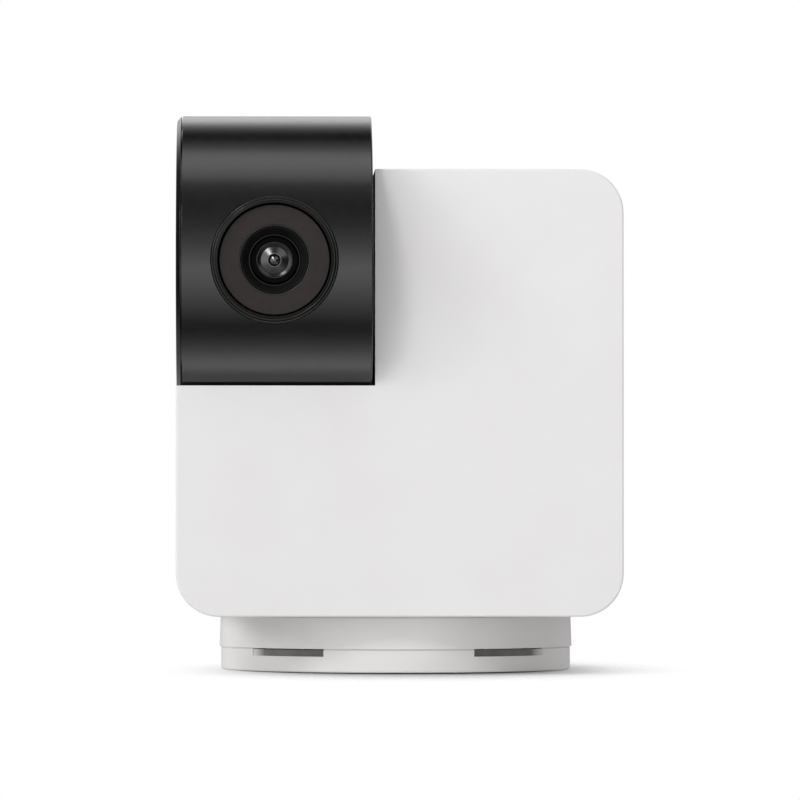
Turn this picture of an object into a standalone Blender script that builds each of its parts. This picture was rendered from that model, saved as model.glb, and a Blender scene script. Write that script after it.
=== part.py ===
# Pan and tilt pet camera: a white rounded-square housing that pans on a round base,
# with a black barrel-shaped camera head that tilts in a cradle cut from its upper left corner.
# Metres, +Z up, the lens looks along -Y. The origin is on the pan axis, on the floor.

import math

import bmesh
import bpy
from mathutils import Matrix

# Clearances
FIT_GAP = 0.0003            # between pieces fixed to each other
RUN_GAP = 0.0003            # between pieces that turn or slide on each other
SEAM_GAP = 0.0002           # open parting line between two casings
OVERRUN = 0.0010            # how far a cutter passes the face that it opens
MERGE = 0.000002            # vertices closer than this are one

# Facets
BARREL_SIDES = 64
BASE_SIDES = 48
LENS_SIDES = 32
SMALL_SIDES = 16
SCREW_SIDES = 8
CORNER_STEPS = 6
SMOOTH_ANGLE = math.radians(35)

# Base
PAD_INSET = 0.0023          # the pad's edge inside the lower shell's outer face
PAD_THICK = 0.0008
PAD_EDGE = 0.0002
RIM_LIFT = 0.0005           # the shell's rim above the floor
BASE_SEAM_Z = 0.0041
BASE_TOP_Z = 0.0098
BASE_PAN_RADIUS = 0.0313
BASE_SKIRT_STEP = 0.0003    # the upper shell stands out over the lower one
BASE_TOP_TAPER = 0.0002
BASE_WALL = 0.0016
BASE_DECK = 0.0018
BASE_FLOOR = 0.0012
BASE_EDGE = 0.0003
SLOT_HEIGHT = 0.00115
SLOT_FROM = math.radians(25)
SLOT_TO = math.radians(55)
POST_SHARE = 0.357143       # the pan post's radius over the distance between the pan gears' axes
POST_WALL = 0.0030
GLIDE_INSET = 0.0053        # the glide ring's groove inside the lower shell's outer face
GLIDE_WIDTH = 0.0040
GLIDE_DEPTH = 0.0007
GLIDE_PROUD = 0.0001
BASE_BOSS_RADIUS = 0.0034
BASE_BOSS_HEIGHT = 0.0014
BASE_POST_RADIUS = 0.0026
BASE_SCREW_INSET = 0.0085
BASE_SCREW_ANGLES = (math.radians(-90), math.radians(30), math.radians(150))
BASE_SCREW_LENGTH = 0.0048

# Power inlet
INLET_WIDTH = 0.00894
INLET_HEIGHT = 0.0032
INLET_DEPTH = 0.0073
INLET_CORNER = 0.0013
INLET_WALL = 0.0003
INLET_RECESS = 0.0007       # the mouth behind the base's outer face
TONGUE_WIDTH = 0.0067
TONGUE_THICK = 0.0007
TONGUE_SHORT = 0.0012       # the tongue ends this far inside the mouth
BASE_BOARD_WIDTH = 0.0160
BASE_BOARD_DEPTH = 0.0150
BASE_BOARD_CORNER = 0.0010
BOARD_THICK = 0.0008

# Housing
BODY_WIDTH = 0.0780
BODY_HEIGHT = 0.0780
BODY_DEPTH = 0.0740
BODY_CORNER = 0.0076
BODY_EDGE = 0.0006
SHELL_WALL = 0.0020
REAR_PLATE = 0.0020
SKIRT_LENGTH = 0.0030
SKIRT_WALL = 0.0012
REAR_BOSS_RADIUS = 0.0030
REAR_BOSS_LENGTH = 0.0120
REAR_BOSS_SINK = 0.0006     # how far a boss runs into the shell's corner
REAR_SCREW_LENGTH = 0.0090

# Screws
HEAD_RADIUS = 0.0021
HEAD_THICK = 0.0010
SHANK_RADIUS = 0.0010
DRIVE_RADIUS = 0.0009
DRIVE_DEPTH = 0.0005

# Camera head
BARREL_RADIUS = 0.0262
BARREL_WALL = 0.0020
BARREL_EDGE = 0.00025
CRADLE_GAP = 0.0004
HEAD_SIDE_GAP = 0.0005      # between the barrel's right end and the cut-out's side wall
CUT_WIDTH = 0.0347          # width of the cut-out from the housing's left side
HEAD_INSET = 0.0001         # the barrel's left end inside the housing's left side
TILT_AXIS_IN = 0.0156       # tilt axis behind the front face
TILT_AXIS_DOWN = 0.0162     # tilt axis below the top face
CAP_CHAMFER = 0.0008
CAP_CHAMFER_FALL = 0.0009
CAP_PLATE = 0.0016
CAP_SKIRT = 0.0030
CAP_SKIRT_WALL = 0.0014
HUB_RADIUS = 0.0037
HUB_BORE = 0.0022
HUB_FLANGE_RADIUS = 0.0080
HUB_FLANGE = 0.0015
HUB_PROUD = 0.0005          # the hub runs on beyond its clip
BUSH_WALL = 0.0010
BUSH_FLANGE = 0.0008
BUSH_FLANGE_WIDTH = 0.0020
CLIP_THICK = 0.0010
CLIP_WIDTH = 0.0025

# Lens group
BEZEL_RADIUS = 0.0110
BEZEL_BORE = 0.0098
BEZEL_PROUD = 0.0003        # in front of the barrel's foremost line
BEZEL_LIP = 0.0004
BEZEL_STEP_WIDTH = 0.0005
BEZEL_STEP = 0.00012
BEZEL_FLANGE = 0.0012
BEZEL_FLANGE_WIDTH = 0.0015
OPTIC_EDGE = 0.00012        # small chamfers on the window, the hood and the lens ring
WINDOW_SINK = 0.0009
WINDOW_THICK = 0.0012
WINDOW_BORE = 0.0061
HOOD_THROAT = 0.0043
HOOD_LENGTH = 0.0040
HOOD_CONE = 0.0024
LENS_RADIUS = 0.0040
LENS_RING_BORE = 0.0032
LENS_LENGTH = 0.0120
LENS_RING_SINK = 0.0006
GLASS_RADIUS = 0.0029
GLASS_RISE = 0.0011
GLASS_THICK = 0.0016
HOLDER_WIDTH = 0.0140
HOLDER_CORNER = 0.0015
SENSOR_WIDTH = 0.0070
SENSOR_THICK = 0.0010
SENSOR_BOARD_WIDTH = 0.0240
SENSOR_BOARD_HEIGHT = 0.0200
SENSOR_SCREW_LENGTH = 0.0048
LED_BOARD_BACK = 0.0018     # the lamp board behind the window
LED_WIDTH = 0.0022
LED_COUNT = 4
MOUNT_PLATE = 0.0012
MOUNT_POST_RADIUS = 0.0017
MOUNT_POST_INSET = 0.0008

# Gears
PRESSURE_ANGLE = math.radians(20)
BACKLASH = 0.0003
ADDENDUM_SHARE = 0.9
DEDENDUM_SHARE = 1.2
FLANK_STEPS = 1
SUN_TEETH = 40
PAN_PINION_TEETH = 16
PAN_CENTRE_SHARE = 0.57436  # the distance between the pan gears' axes over half the housing's width
PAN_GEAR_WIDTH = 0.0035
TILT_TEETH = 36
TILT_PINION_TEETH = 14
TILT_MODULE = 0.0006
TILT_GEAR_WIDTH = 0.0030
TILT_DRIVE_ANGLE = math.radians(-35)   # from straight back, down about the tilt axis

# Drives
NUT_THICK = 0.0012
NUT_WIDTH = 0.0025
POST_END = 0.0005           # the post stands above its nut
SHAFT_RADIUS = 0.0010
SHAFT_LENGTH = 0.0075
MOTOR_RADIUS = 0.0100
MOTOR_LENGTH = 0.0140
MOTOR_EDGE = 0.0006
EAR_REACH = 0.0135
EAR_RADIUS = 0.0030
EAR_THICK = 0.0008
BRACKET_THICK = 0.0015
BRACKET_MARGIN = 0.0005     # the bracket's plate beyond the motor's ears
BRACKET_POST_RADIUS = 0.0025
BRACKET_HOLE = 0.0040

# Electronics and rear controls
BOARD_SIDE_CLEAR = 0.0130   # the main board's edges inside the housing's outer faces
BOARD_TOP_CLEAR = 0.0071
BOARD_LOW_CLEAR = 0.0269
MAIN_BOARD_THICK = 0.0016
MAIN_BOARD_CORNER = 0.0020
BOARD_STANDOFF = 0.0074
STANDOFF_RADIUS = 0.0022
BOARD_SCREW_INSET = 0.0035
BOARD_SCREW_LENGTH = 0.0050
CHIP_CORNER = 0.0004
CAN_SIZE = 0.0150
CAN_THICK = 0.0024
CAN_X = 0.0070
RADIO_WIDTH = 0.0110
RADIO_HEIGHT = 0.0150
RADIO_THICK = 0.0018
RADIO_X = -0.0120
SPEAKER_RADIUS = 0.0095
SPEAKER_MAGNET = 0.0060
SPEAKER_DEPTH = 0.0042
SPEAKER_RIM = 0.0009
SPEAKER_RISE = 0.0164       # above the housing's lower face
GRILLE_SLOTS = 5
GRILLE_PITCH = 0.0030
GRILLE_WIDTH = 0.0140
GRILLE_HEIGHT = 0.0014
BUTTON_RADIUS = 0.0020
BUTTON_X = 0.0150
BUTTON_RISE = 0.0364
BUTTON_SINK = 0.0003
BUTTON_FLANGE = 0.0008
BUTTON_FLANGE_WIDTH = 0.0010
BUTTON_STEM_RADIUS = 0.0014
SWITCH_SIZE = 0.0060
SWITCH_HEIGHT = 0.0036
SWITCH_CORNER = 0.0004
PLUNGER_RADIUS = 0.0012
PLUNGER_PROUD = 0.0009
PLUNGER_DEPTH = 0.0009      # how deep the plunger stands in the switch
PLUNGER_WELL = 0.0018

# Worked out: base and housing
PAD_RADIUS = BASE_PAN_RADIUS - PAD_INSET
BASE_SKIRT_RADIUS = BASE_PAN_RADIUS + BASE_SKIRT_STEP
BASE_TOP_RADIUS = BASE_SKIRT_RADIUS - BASE_TOP_TAPER
GLIDE_OUTER = BASE_PAN_RADIUS - GLIDE_INSET
GLIDE_INNER = GLIDE_OUTER - GLIDE_WIDTH
BASE_SCREW_RING = BASE_PAN_RADIUS - BASE_SCREW_INSET
RIM_FLOOR_Z = PAD_THICK + FIT_GAP
FLOOR_TOP_Z = RIM_FLOOR_Z + BASE_FLOOR
BOSS_TOP_Z = FLOOR_TOP_Z + BASE_BOSS_HEIGHT
DECK_BELOW_Z = BASE_TOP_Z - BASE_DECK
PAN_INNER_RADIUS = BASE_PAN_RADIUS - BASE_WALL
BODY_LOW_Z = BASE_TOP_Z + RUN_GAP
BODY_HIGH_Z = BODY_LOW_Z + BODY_HEIGHT
BODY_MID_Z = BODY_LOW_Z + BODY_HEIGHT / 2
HALF_WIDTH = BODY_WIDTH / 2
HALF_DEPTH = BODY_DEPTH / 2
FLOOR_Z = BODY_LOW_Z + SHELL_WALL
PLATE_Y = HALF_DEPTH - REAR_PLATE
SHELL_BACK_Y = PLATE_Y - SEAM_GAP
SKIRT_FRONT_Y = PLATE_Y - SKIRT_LENGTH
BOSS_BACK_Y = SKIRT_FRONT_Y - FIT_GAP

# Worked out: head
TILT_Y = TILT_AXIS_IN - HALF_DEPTH
TILT_Z = BODY_HIGH_Z - TILT_AXIS_DOWN
CRADLE_RADIUS = BARREL_RADIUS + CRADLE_GAP
CUT_X = CUT_WIDTH - HALF_WIDTH
WALL_X = CUT_X + SHELL_WALL
BARREL_RIGHT_X = CUT_X - HEAD_SIDE_GAP
BARREL_LEFT_X = HEAD_INSET - HALF_WIDTH
CAP_SEAM_X = BARREL_LEFT_X + CAP_CHAMFER
BARREL_LENGTH = BARREL_RIGHT_X - CAP_SEAM_X - SEAM_GAP
BARREL_BORE = BARREL_RADIUS - BARREL_WALL
LENS_X = (BARREL_LEFT_X + BARREL_RIGHT_X) / 2
BEZEL_FRONT_Y = TILT_Y - BARREL_RADIUS - BEZEL_PROUD
WINDOW_RADIUS = BEZEL_BORE - FIT_GAP
WINDOW_FRONT_Y = BEZEL_FRONT_Y + WINDOW_SINK
HOOD_RADIUS = WINDOW_BORE - FIT_GAP
LENS_FRONT_Y = WINDOW_FRONT_Y + HOOD_CONE
FLANGE_RADIUS = BEZEL_RADIUS + BEZEL_FLANGE_WIDTH
FLANGE_FRONT_Y = TILT_Y - math.sqrt(BARREL_BORE ** 2 - FLANGE_RADIUS ** 2) + FIT_GAP
FLANGE_BACK_Y = FLANGE_FRONT_Y + BEZEL_FLANGE
MOUNT_FRONT_Y = FLANGE_BACK_Y + FIT_GAP
HOLDER_BACK_Y = LENS_FRONT_Y + LENS_LENGTH + SENSOR_THICK + FIT_GAP
SENSOR_BOARD_Y = HOLDER_BACK_Y + FIT_GAP
LED_BOARD_Y = WINDOW_FRONT_Y + WINDOW_THICK + LED_BOARD_BACK

# Worked out: drives
HUB_HOLE = HUB_RADIUS + RUN_GAP
BUSH_RADIUS = HUB_HOLE + BUSH_WALL
TILT_GEAR_X = WALL_X + FIT_GAP + BUSH_FLANGE + RUN_GAP
TILT_CLIP_X = TILT_GEAR_X + TILT_GEAR_WIDTH + FIT_GAP
HUB_FLANGE_X = BARREL_RIGHT_X - BARREL_WALL - FIT_GAP
HUB_END_X = TILT_CLIP_X + CLIP_THICK + HUB_PROUD
PAN_CENTRES = HALF_WIDTH * PAN_CENTRE_SHARE
PAN_MODULE = 2 * PAN_CENTRES / (SUN_TEETH + PAN_PINION_TEETH)
TILT_CENTRES = TILT_MODULE * (TILT_TEETH + TILT_PINION_TEETH) / 2
POST_RADIUS = PAN_CENTRES * POST_SHARE
POST_BORE = POST_RADIUS - POST_WALL
POST_HOLE = POST_RADIUS + RUN_GAP
PAN_BUSH_RADIUS = POST_HOLE + BUSH_WALL
PAN_GEAR_Z = FLOOR_Z + FIT_GAP + BUSH_FLANGE + RUN_GAP
PAN_NUT_Z = PAN_GEAR_Z + PAN_GEAR_WIDTH + FIT_GAP
POST_TOP_Z = PAN_NUT_Z + NUT_THICK + POST_END
PAN_BRACKET_Z = POST_TOP_Z + RUN_GAP
TILT_BRACKET_X = TILT_CLIP_X + CLIP_THICK + FIT_GAP

# Worked out: boards and rear controls
MAIN_BOARD_WIDTH = BODY_WIDTH - 2 * BOARD_SIDE_CLEAR
MAIN_BOARD_HEIGHT = BODY_HEIGHT - BOARD_TOP_CLEAR - BOARD_LOW_CLEAR
MAIN_BOARD_Z = BODY_LOW_Z + BOARD_LOW_CLEAR + MAIN_BOARD_HEIGHT / 2
SPEAKER_Z = BODY_LOW_Z + SPEAKER_RISE
BUTTON_Z = BODY_LOW_Z + BUTTON_RISE
BOARD_BACK_Y = PLATE_Y - BOARD_STANDOFF
BOARD_FRONT_Y = BOARD_BACK_Y - MAIN_BOARD_THICK
SWITCH_FRONT_Y = BOARD_BACK_Y + FIT_GAP
SWITCH_BACK_Y = SWITCH_FRONT_Y + SWITCH_HEIGHT
BUTTON_FRONT_Y = SWITCH_BACK_Y + PLUNGER_PROUD + FIT_GAP
BUTTON_LENGTH = HALF_DEPTH - BUTTON_SINK - BUTTON_FRONT_Y

# Directions that a rod or a turned piece runs in from its start
UP = (0, 0, 0)
DOWN = (math.pi, 0, 0)
RIGHT = (0, math.pi / 2, 0)
LEFT = (0, -math.pi / 2, 0)
FRONT = (math.pi / 2, 0, 0)
BACK = (-math.pi / 2, 0, 0)

# Finishes: colour, roughness, metallic
WHITE_PLASTIC = ((0.80, 0.80, 0.79, 1), 0.45, 0.0)
BLACK_PLASTIC = ((0.012, 0.012, 0.012, 1), 0.22, 0.0)
MATT_BLACK = ((0.020, 0.020, 0.020, 1), 0.60, 0.0)
SMOKED_WINDOW = ((0.035, 0.032, 0.030, 1), 0.50, 0.0)
LENS_GLASS = ((0.010, 0.012, 0.014, 1), 0.05, 0.0)
GREY_RUBBER = ((0.090, 0.090, 0.090, 1), 0.80, 0.0)
GEAR_PLASTIC = ((0.720, 0.700, 0.620, 1), 0.40, 0.0)
BEARING_PLASTIC = ((0.180, 0.180, 0.190, 1), 0.35, 0.0)
STEEL = ((0.560, 0.560, 0.570, 1), 0.30, 1.0)
ZINC_SCREW = ((0.500, 0.510, 0.530, 1), 0.35, 1.0)
GREEN_BOARD = ((0.020, 0.150, 0.060, 1), 0.45, 0.0)
CHIP_BLACK = ((0.030, 0.030, 0.032, 1), 0.50, 0.0)
LED_RESIN = ((0.250, 0.100, 0.120, 1), 0.15, 0.0)


def new_collection(name):
    collection = bpy.data.collections.new(name)
    bpy.context.scene.collection.children.link(collection)
    return collection


def clear_scene():
    for old in list(bpy.data.objects):
        bpy.data.objects.remove(old, do_unlink=True)


clear_scene()
PARTS = new_collection("pet_camera")
CUTTERS = new_collection("cutters")


def make_material(name, finish):
    colour, roughness, metallic = finish
    material = bpy.data.materials.new(name)
    material.use_nodes = True
    shader = material.node_tree.nodes["Principled BSDF"]
    shader.inputs["Base Color"].default_value = colour
    shader.inputs["Roughness"].default_value = roughness
    shader.inputs["Metallic"].default_value = metallic
    material.diffuse_color = colour
    return material


def place_mesh(name, mesh, start, aim, finish):
    # A piece with no finish is a cutter
    obj = bpy.data.objects.new(name, mesh)
    obj.location = start
    obj.rotation_euler = aim
    if finish is None:
        CUTTERS.objects.link(obj)
        obj.hide_render = True
        obj.display_type = "WIRE"
        return obj
    PARTS.objects.link(obj)
    mesh.materials.append(make_material(name, finish))
    return obj


def shade(mesh):
    mesh.shade_smooth()
    mesh.set_sharp_from_angle(angle=SMOOTH_ANGLE)


def place_bmesh(name, bm, start, aim, finish):
    mesh = bpy.data.meshes.new(name)
    bm.to_mesh(mesh)
    bm.free()
    shade(mesh)
    return place_mesh(name, mesh, start, aim, finish)


def edges_along(bm, axis):
    return [e for e in bm.edges if abs(abs((e.verts[1].co - e.verts[0].co).normalized()[axis]) - 1) < MERGE]


def round_edges(bm, edges, radius, steps):
    bmesh.ops.bevel(bm, geom=edges, offset=radius, segments=steps, profile=0.5, affect="EDGES")


def block(name, low, high, finish=None, along=None, corner=0, front_edge=0, back_edge=0, steps=CORNER_STEPS):
    # A box from low to high, with rounded corners round one axis and fillets on its two end faces
    size = [b - a for a, b in zip(low, high)]
    middle = [(a + b) / 2 for a, b in zip(low, high)]
    bm = bmesh.new()
    bmesh.ops.create_cube(bm, size=1, matrix=Matrix.Diagonal((*size, 1)))
    if corner:
        round_edges(bm, edges_along(bm, along), corner, steps)
    for side, fillet in ((-1, front_edge), (1, back_edge)):
        if fillet:
            end = side * size[along] / 2
            rim = [e for e in bm.edges if all(abs(v.co[along] - end) < MERGE for v in e.verts)]
            round_edges(bm, rim, fillet, 2)
    return place_bmesh(name, bm, middle, UP, finish)


def rod(name, start, aim, radius, length, finish=None, sides=SMALL_SIDES):
    # A cylinder that runs from its start in one direction
    bm = bmesh.new()
    lift = Matrix.Translation((0, 0, length / 2))
    bmesh.ops.create_cone(bm, cap_ends=True, segments=sides, radius1=radius, radius2=radius, depth=length,
                          matrix=lift)
    return place_bmesh(name, bm, start, aim, finish)


def settle(obj):
    # Makes the modified shape the object's own mesh
    graph = bpy.context.evaluated_depsgraph_get()
    mesh = bpy.data.meshes.new_from_object(obj.evaluated_get(graph))
    obj.modifiers.clear()
    obj.data = mesh
    shade(mesh)


def profile_area(points):
    following = points[1:] + points[:1]
    return sum(a[0] * b[1] - b[0] * a[1] for a, b in zip(points, following)) / 2


def turned(name, start, aim, profile, finish=None, sides=SMALL_SIDES):
    # A profile of (radius, height) points turned round the piece's own axis
    points = list(profile)
    if profile_area(points) > 0:
        points.reverse()
    closed = min(radius for radius, height in points) > 0
    if not closed:
        while points[0][0] > 0 or points[-1][0] > 0:
            points = points[1:] + points[:1]
    count = len(points)
    edges = [(i, (i + 1) % count) for i in range(count if closed else count - 1)]
    mesh = bpy.data.meshes.new(name)
    mesh.from_pydata([(radius, 0, height) for radius, height in points], edges, [])
    obj = place_mesh(name, mesh, start, aim, finish)
    screw = obj.modifiers.new("turn", "SCREW")
    screw.axis = "Z"
    screw.angle = 2 * math.pi
    screw.steps = sides
    screw.render_steps = sides
    screw.use_merge_vertices = True
    screw.merge_threshold = MERGE
    settle(obj)
    return obj


def flat_outline(name, start, aim, outlines, thick, finish=None):
    # Flat outlines made a plate that runs from its start, the inner ones as holes
    curve = bpy.data.curves.new(name, "CURVE")
    curve.dimensions = "2D"
    curve.fill_mode = "BOTH"
    curve.extrude = thick / 2
    for outline in outlines:
        spline = curve.splines.new("POLY")
        spline.points.add(len(outline) - 1)
        for point, (x, y) in zip(spline.points, outline):
            point.co = (x, y, 0, 1)
        spline.use_cyclic_u = True
    guide = bpy.data.objects.new(name, curve)
    CUTTERS.objects.link(guide)
    graph = bpy.context.evaluated_depsgraph_get()
    mesh = bpy.data.meshes.new_from_object(guide.evaluated_get(graph))
    bpy.data.objects.remove(guide, do_unlink=True)
    bm = bmesh.new()
    bm.from_mesh(mesh)
    bpy.data.meshes.remove(mesh)
    bmesh.ops.remove_doubles(bm, verts=bm.verts, dist=MERGE)
    bmesh.ops.translate(bm, verts=bm.verts, vec=(0, 0, thick / 2))
    bmesh.ops.recalc_face_normals(bm, faces=bm.faces)
    return place_bmesh(name, bm, start, aim, finish)


def combine(obj, other, operation):
    modifier = obj.modifiers.new(other.name, "BOOLEAN")
    modifier.operation = operation
    modifier.solver = "EXACT"
    modifier.object = other


def cut(obj, *others):
    for other in others:
        combine(obj, other, "DIFFERENCE")


def join(obj, *others):
    for other in others:
        combine(obj, other, "UNION")


def circle(radius, sides):
    return [(radius * math.cos(2 * math.pi * i / sides), radius * math.sin(2 * math.pi * i / sides))
            for i in range(sides)]


def involute(angle):
    return math.tan(angle) - angle


def gear_outline(teeth, module, first_tooth):
    # Involute teeth, the first one centred on the angle first_tooth
    pitch = module * teeth / 2
    base = pitch * math.cos(PRESSURE_ANGLE)
    tip = pitch + ADDENDUM_SHARE * module
    root = pitch - DEDENDUM_SHARE * module
    half = math.pi / (2 * teeth) - BACKLASH / (4 * pitch)
    foot = max(base, root)
    flank = []
    for step in range(FLANK_STEPS + 1):
        radius = foot + (tip - foot) * step / FLANK_STEPS
        spread = half + involute(PRESSURE_ANGLE) - involute(math.acos(base / radius))
        flank.append((radius, spread))
    if root < foot:
        flank.insert(0, (root, flank[0][1]))
    points = []
    for tooth in range(teeth):
        middle = first_tooth + 2 * math.pi * tooth / teeth
        for radius, spread in flank:
            points.append((radius * math.cos(middle - spread), radius * math.sin(middle - spread)))
        for radius, spread in reversed(flank):
            points.append((radius * math.cos(middle + spread), radius * math.sin(middle + spread)))
    return points


def screw(name, start, aim, length, drive=False):
    # Its start is under the head and its aim is the way the shank runs
    low = DRIVE_DEPTH - HEAD_THICK
    recess = [(0, low), (DRIVE_RADIUS, low), (DRIVE_RADIUS, -HEAD_THICK)] if drive else [(0, -HEAD_THICK)]
    profile = recess + [(HEAD_RADIUS - DRIVE_DEPTH, -HEAD_THICK), (HEAD_RADIUS, -HEAD_THICK / 2),
                        (HEAD_RADIUS, 0), (SHANK_RADIUS, 0), (SHANK_RADIUS, length), (0, length)]
    return turned(name, start, aim, profile, ZINC_SCREW, SMALL_SIDES if drive else SCREW_SIDES)


def base_screw_places():
    return [(BASE_SCREW_RING * math.cos(a), BASE_SCREW_RING * math.sin(a)) for a in BASE_SCREW_ANGLES]


def slot_cutter():
    # Four vents under the seam, two in front and two behind, each a sector of a ring
    outlines = []
    steps = CORNER_STEPS
    inner = PAN_INNER_RADIUS - OVERRUN
    outer = BASE_PAN_RADIUS + OVERRUN
    for middle in (-math.pi / 2, math.pi / 2):
        for side in (-1, 1):
            sweep = [SLOT_FROM + (SLOT_TO - SLOT_FROM) * i / steps for i in range(steps + 1)]
            angles = [middle + side * angle for angle in sweep]
            ring = [(outer * math.cos(a), outer * math.sin(a)) for a in angles]
            ring += [(inner * math.cos(a), inner * math.sin(a)) for a in reversed(angles)]
            outlines.append(ring)
    return flat_outline("vent_cut", (0, 0, BASE_SEAM_Z - SLOT_HEIGHT), UP, outlines, SLOT_HEIGHT + OVERRUN)


def inlet_middle_z():
    return FLOOR_TOP_Z + FIT_GAP + BOARD_THICK + FIT_GAP + INLET_HEIGHT / 2


def inlet_cutter(name):
    half = INLET_WIDTH / 2 + FIT_GAP
    tall = INLET_HEIGHT / 2 + FIT_GAP
    middle = inlet_middle_z()
    low = (-half, PAN_INNER_RADIUS - INLET_DEPTH, middle - tall)
    high = (half, BASE_SKIRT_RADIUS + OVERRUN, middle + tall)
    return block(name, low, high, along=1, corner=INLET_CORNER + FIT_GAP, steps=3)


def make_rubber_pad():
    profile = [(0, 0), (PAD_RADIUS - PAD_EDGE, 0), (PAD_RADIUS, PAD_EDGE), (PAD_RADIUS, PAD_THICK),
               (0, PAD_THICK)]
    turned("rubber_pad", (0, 0, 0), UP, profile, GREY_RUBBER, BASE_SIDES)


def make_base_lower_shell():
    recess = PAD_RADIUS + FIT_GAP
    profile = [(0, RIM_FLOOR_Z), (recess, RIM_FLOOR_Z), (recess, RIM_LIFT),
               (BASE_PAN_RADIUS - BASE_EDGE, RIM_LIFT), (BASE_PAN_RADIUS, RIM_LIFT + BASE_EDGE),
               (BASE_PAN_RADIUS, BASE_SEAM_Z),
               (PAN_INNER_RADIUS, BASE_SEAM_Z), (PAN_INNER_RADIUS, FLOOR_TOP_Z), (0, FLOOR_TOP_Z)]
    shell = turned("base_lower_shell", (0, 0, 0), UP, profile, WHITE_PLASTIC, BASE_SIDES)
    cut(shell, slot_cutter(), inlet_cutter("lower_inlet_cut"))
    for index, (x, y) in enumerate(base_screw_places()):
        boss = rod(f"base_boss_{index}", (x, y, RIM_FLOOR_Z + BASE_FLOOR / 2), UP, BASE_BOSS_RADIUS,
                   BOSS_TOP_Z - RIM_FLOOR_Z - BASE_FLOOR / 2)
        seat = rod(f"base_seat_{index}", (x, y, RIM_FLOOR_Z - OVERRUN), UP, HEAD_RADIUS + FIT_GAP,
                   HEAD_THICK + 2 * FIT_GAP + OVERRUN)
        hole = rod(f"base_hole_{index}", (x, y, RIM_FLOOR_Z), UP, SHANK_RADIUS + FIT_GAP,
                   BOSS_TOP_Z - RIM_FLOOR_Z + OVERRUN, sides=SCREW_SIDES)
        join(shell, boss)
        cut(shell, seat, hole)


def make_base_upper_shell():
    low = BASE_SEAM_Z + SEAM_GAP
    profile = [(POST_BORE, POST_TOP_Z), (POST_RADIUS, POST_TOP_Z), (POST_RADIUS, BASE_TOP_Z),
               (GLIDE_INNER, BASE_TOP_Z), (GLIDE_INNER, BASE_TOP_Z - GLIDE_DEPTH),
               (GLIDE_OUTER, BASE_TOP_Z - GLIDE_DEPTH), (GLIDE_OUTER, BASE_TOP_Z),
               (BASE_TOP_RADIUS - BASE_EDGE, BASE_TOP_Z), (BASE_TOP_RADIUS, BASE_TOP_Z - BASE_EDGE),
               (BASE_SKIRT_RADIUS, low), (PAN_INNER_RADIUS, low), (PAN_INNER_RADIUS, DECK_BELOW_Z),
               (POST_BORE, DECK_BELOW_Z)]
    shell = turned("base_upper_shell", (0, 0, 0), UP, profile, WHITE_PLASTIC, BASE_SIDES)
    cut(shell, inlet_cutter("upper_inlet_cut"))
    for index, (x, y) in enumerate(base_screw_places()):
        start = BOSS_TOP_Z + FIT_GAP
        post = rod(f"base_post_{index}", (x, y, start), UP, BASE_POST_RADIUS,
                   DECK_BELOW_Z - start + GLIDE_DEPTH / 2)
        pilot = rod(f"base_pilot_{index}", (x, y, start - OVERRUN), UP, SHANK_RADIUS + FIT_GAP,
                    DECK_BELOW_Z - start + OVERRUN, sides=SCREW_SIDES)
        join(shell, post)
        cut(shell, pilot)


def make_base_screws():
    seat = RIM_FLOOR_Z + FIT_GAP + HEAD_THICK
    for index, (x, y) in enumerate(base_screw_places()):
        screw(f"base_screw_{index + 1}", (x, y, seat), UP, BASE_SCREW_LENGTH)


def make_glide_ring():
    low = BASE_TOP_Z - GLIDE_DEPTH + SEAM_GAP
    high = BASE_TOP_Z + GLIDE_PROUD
    inner = GLIDE_INNER + FIT_GAP
    outer = GLIDE_OUTER - FIT_GAP
    profile = [(inner, low), (outer, low), (outer, high), (inner, high)]
    turned("glide_ring", (0, 0, 0), UP, profile, BEARING_PLASTIC, BASE_SIDES)


def make_base_board():
    half = BASE_BOARD_WIDTH / 2
    low = FLOOR_TOP_Z + FIT_GAP
    back = math.sqrt(PAN_INNER_RADIUS ** 2 - half ** 2) - FIT_GAP - BASE_EDGE
    block("base_board", (-half, back - BASE_BOARD_DEPTH, low), (half, back, low + BOARD_THICK), GREEN_BOARD,
          along=2, corner=BASE_BOARD_CORNER, steps=3)


def make_usb_c_socket():
    half = INLET_WIDTH / 2
    tall = INLET_HEIGHT / 2
    middle = inlet_middle_z()
    mouth = BASE_PAN_RADIUS - INLET_RECESS
    back = mouth - INLET_DEPTH
    socket = block("usb_c_socket", (-half, back, middle - tall), (half, mouth, middle + tall), STEEL,
                   along=1, corner=INLET_CORNER, steps=4)
    well = block("socket_well", (-half + INLET_WALL, back + 2 * INLET_WALL, middle - tall + INLET_WALL),
                 (half - INLET_WALL, mouth + OVERRUN, middle + tall - INLET_WALL),
                 along=1, corner=INLET_CORNER - INLET_WALL, steps=4)
    tongue = block("socket_tongue", (-TONGUE_WIDTH / 2, back + INLET_WALL, middle - TONGUE_THICK / 2),
                   (TONGUE_WIDTH / 2, mouth - TONGUE_SHORT, middle + TONGUE_THICK / 2))
    cut(socket, well)
    join(socket, tongue)


def make_sun_gear():
    outlines = [gear_outline(SUN_TEETH, PAN_MODULE, 0), circle(POST_RADIUS + FIT_GAP, SMALL_SIDES * 2)]
    flat_outline("sun_gear", (0, 0, PAN_GEAR_Z), UP, outlines, PAN_GEAR_WIDTH, GEAR_PLASTIC)


def make_post_nut():
    inner = POST_RADIUS + FIT_GAP
    profile = [(inner, 0), (inner + NUT_WIDTH, 0), (inner + NUT_WIDTH, NUT_THICK), (inner, NUT_THICK)]
    turned("post_nut", (0, 0, PAN_NUT_Z), UP, profile, STEEL, SMALL_SIDES * 2)


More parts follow.
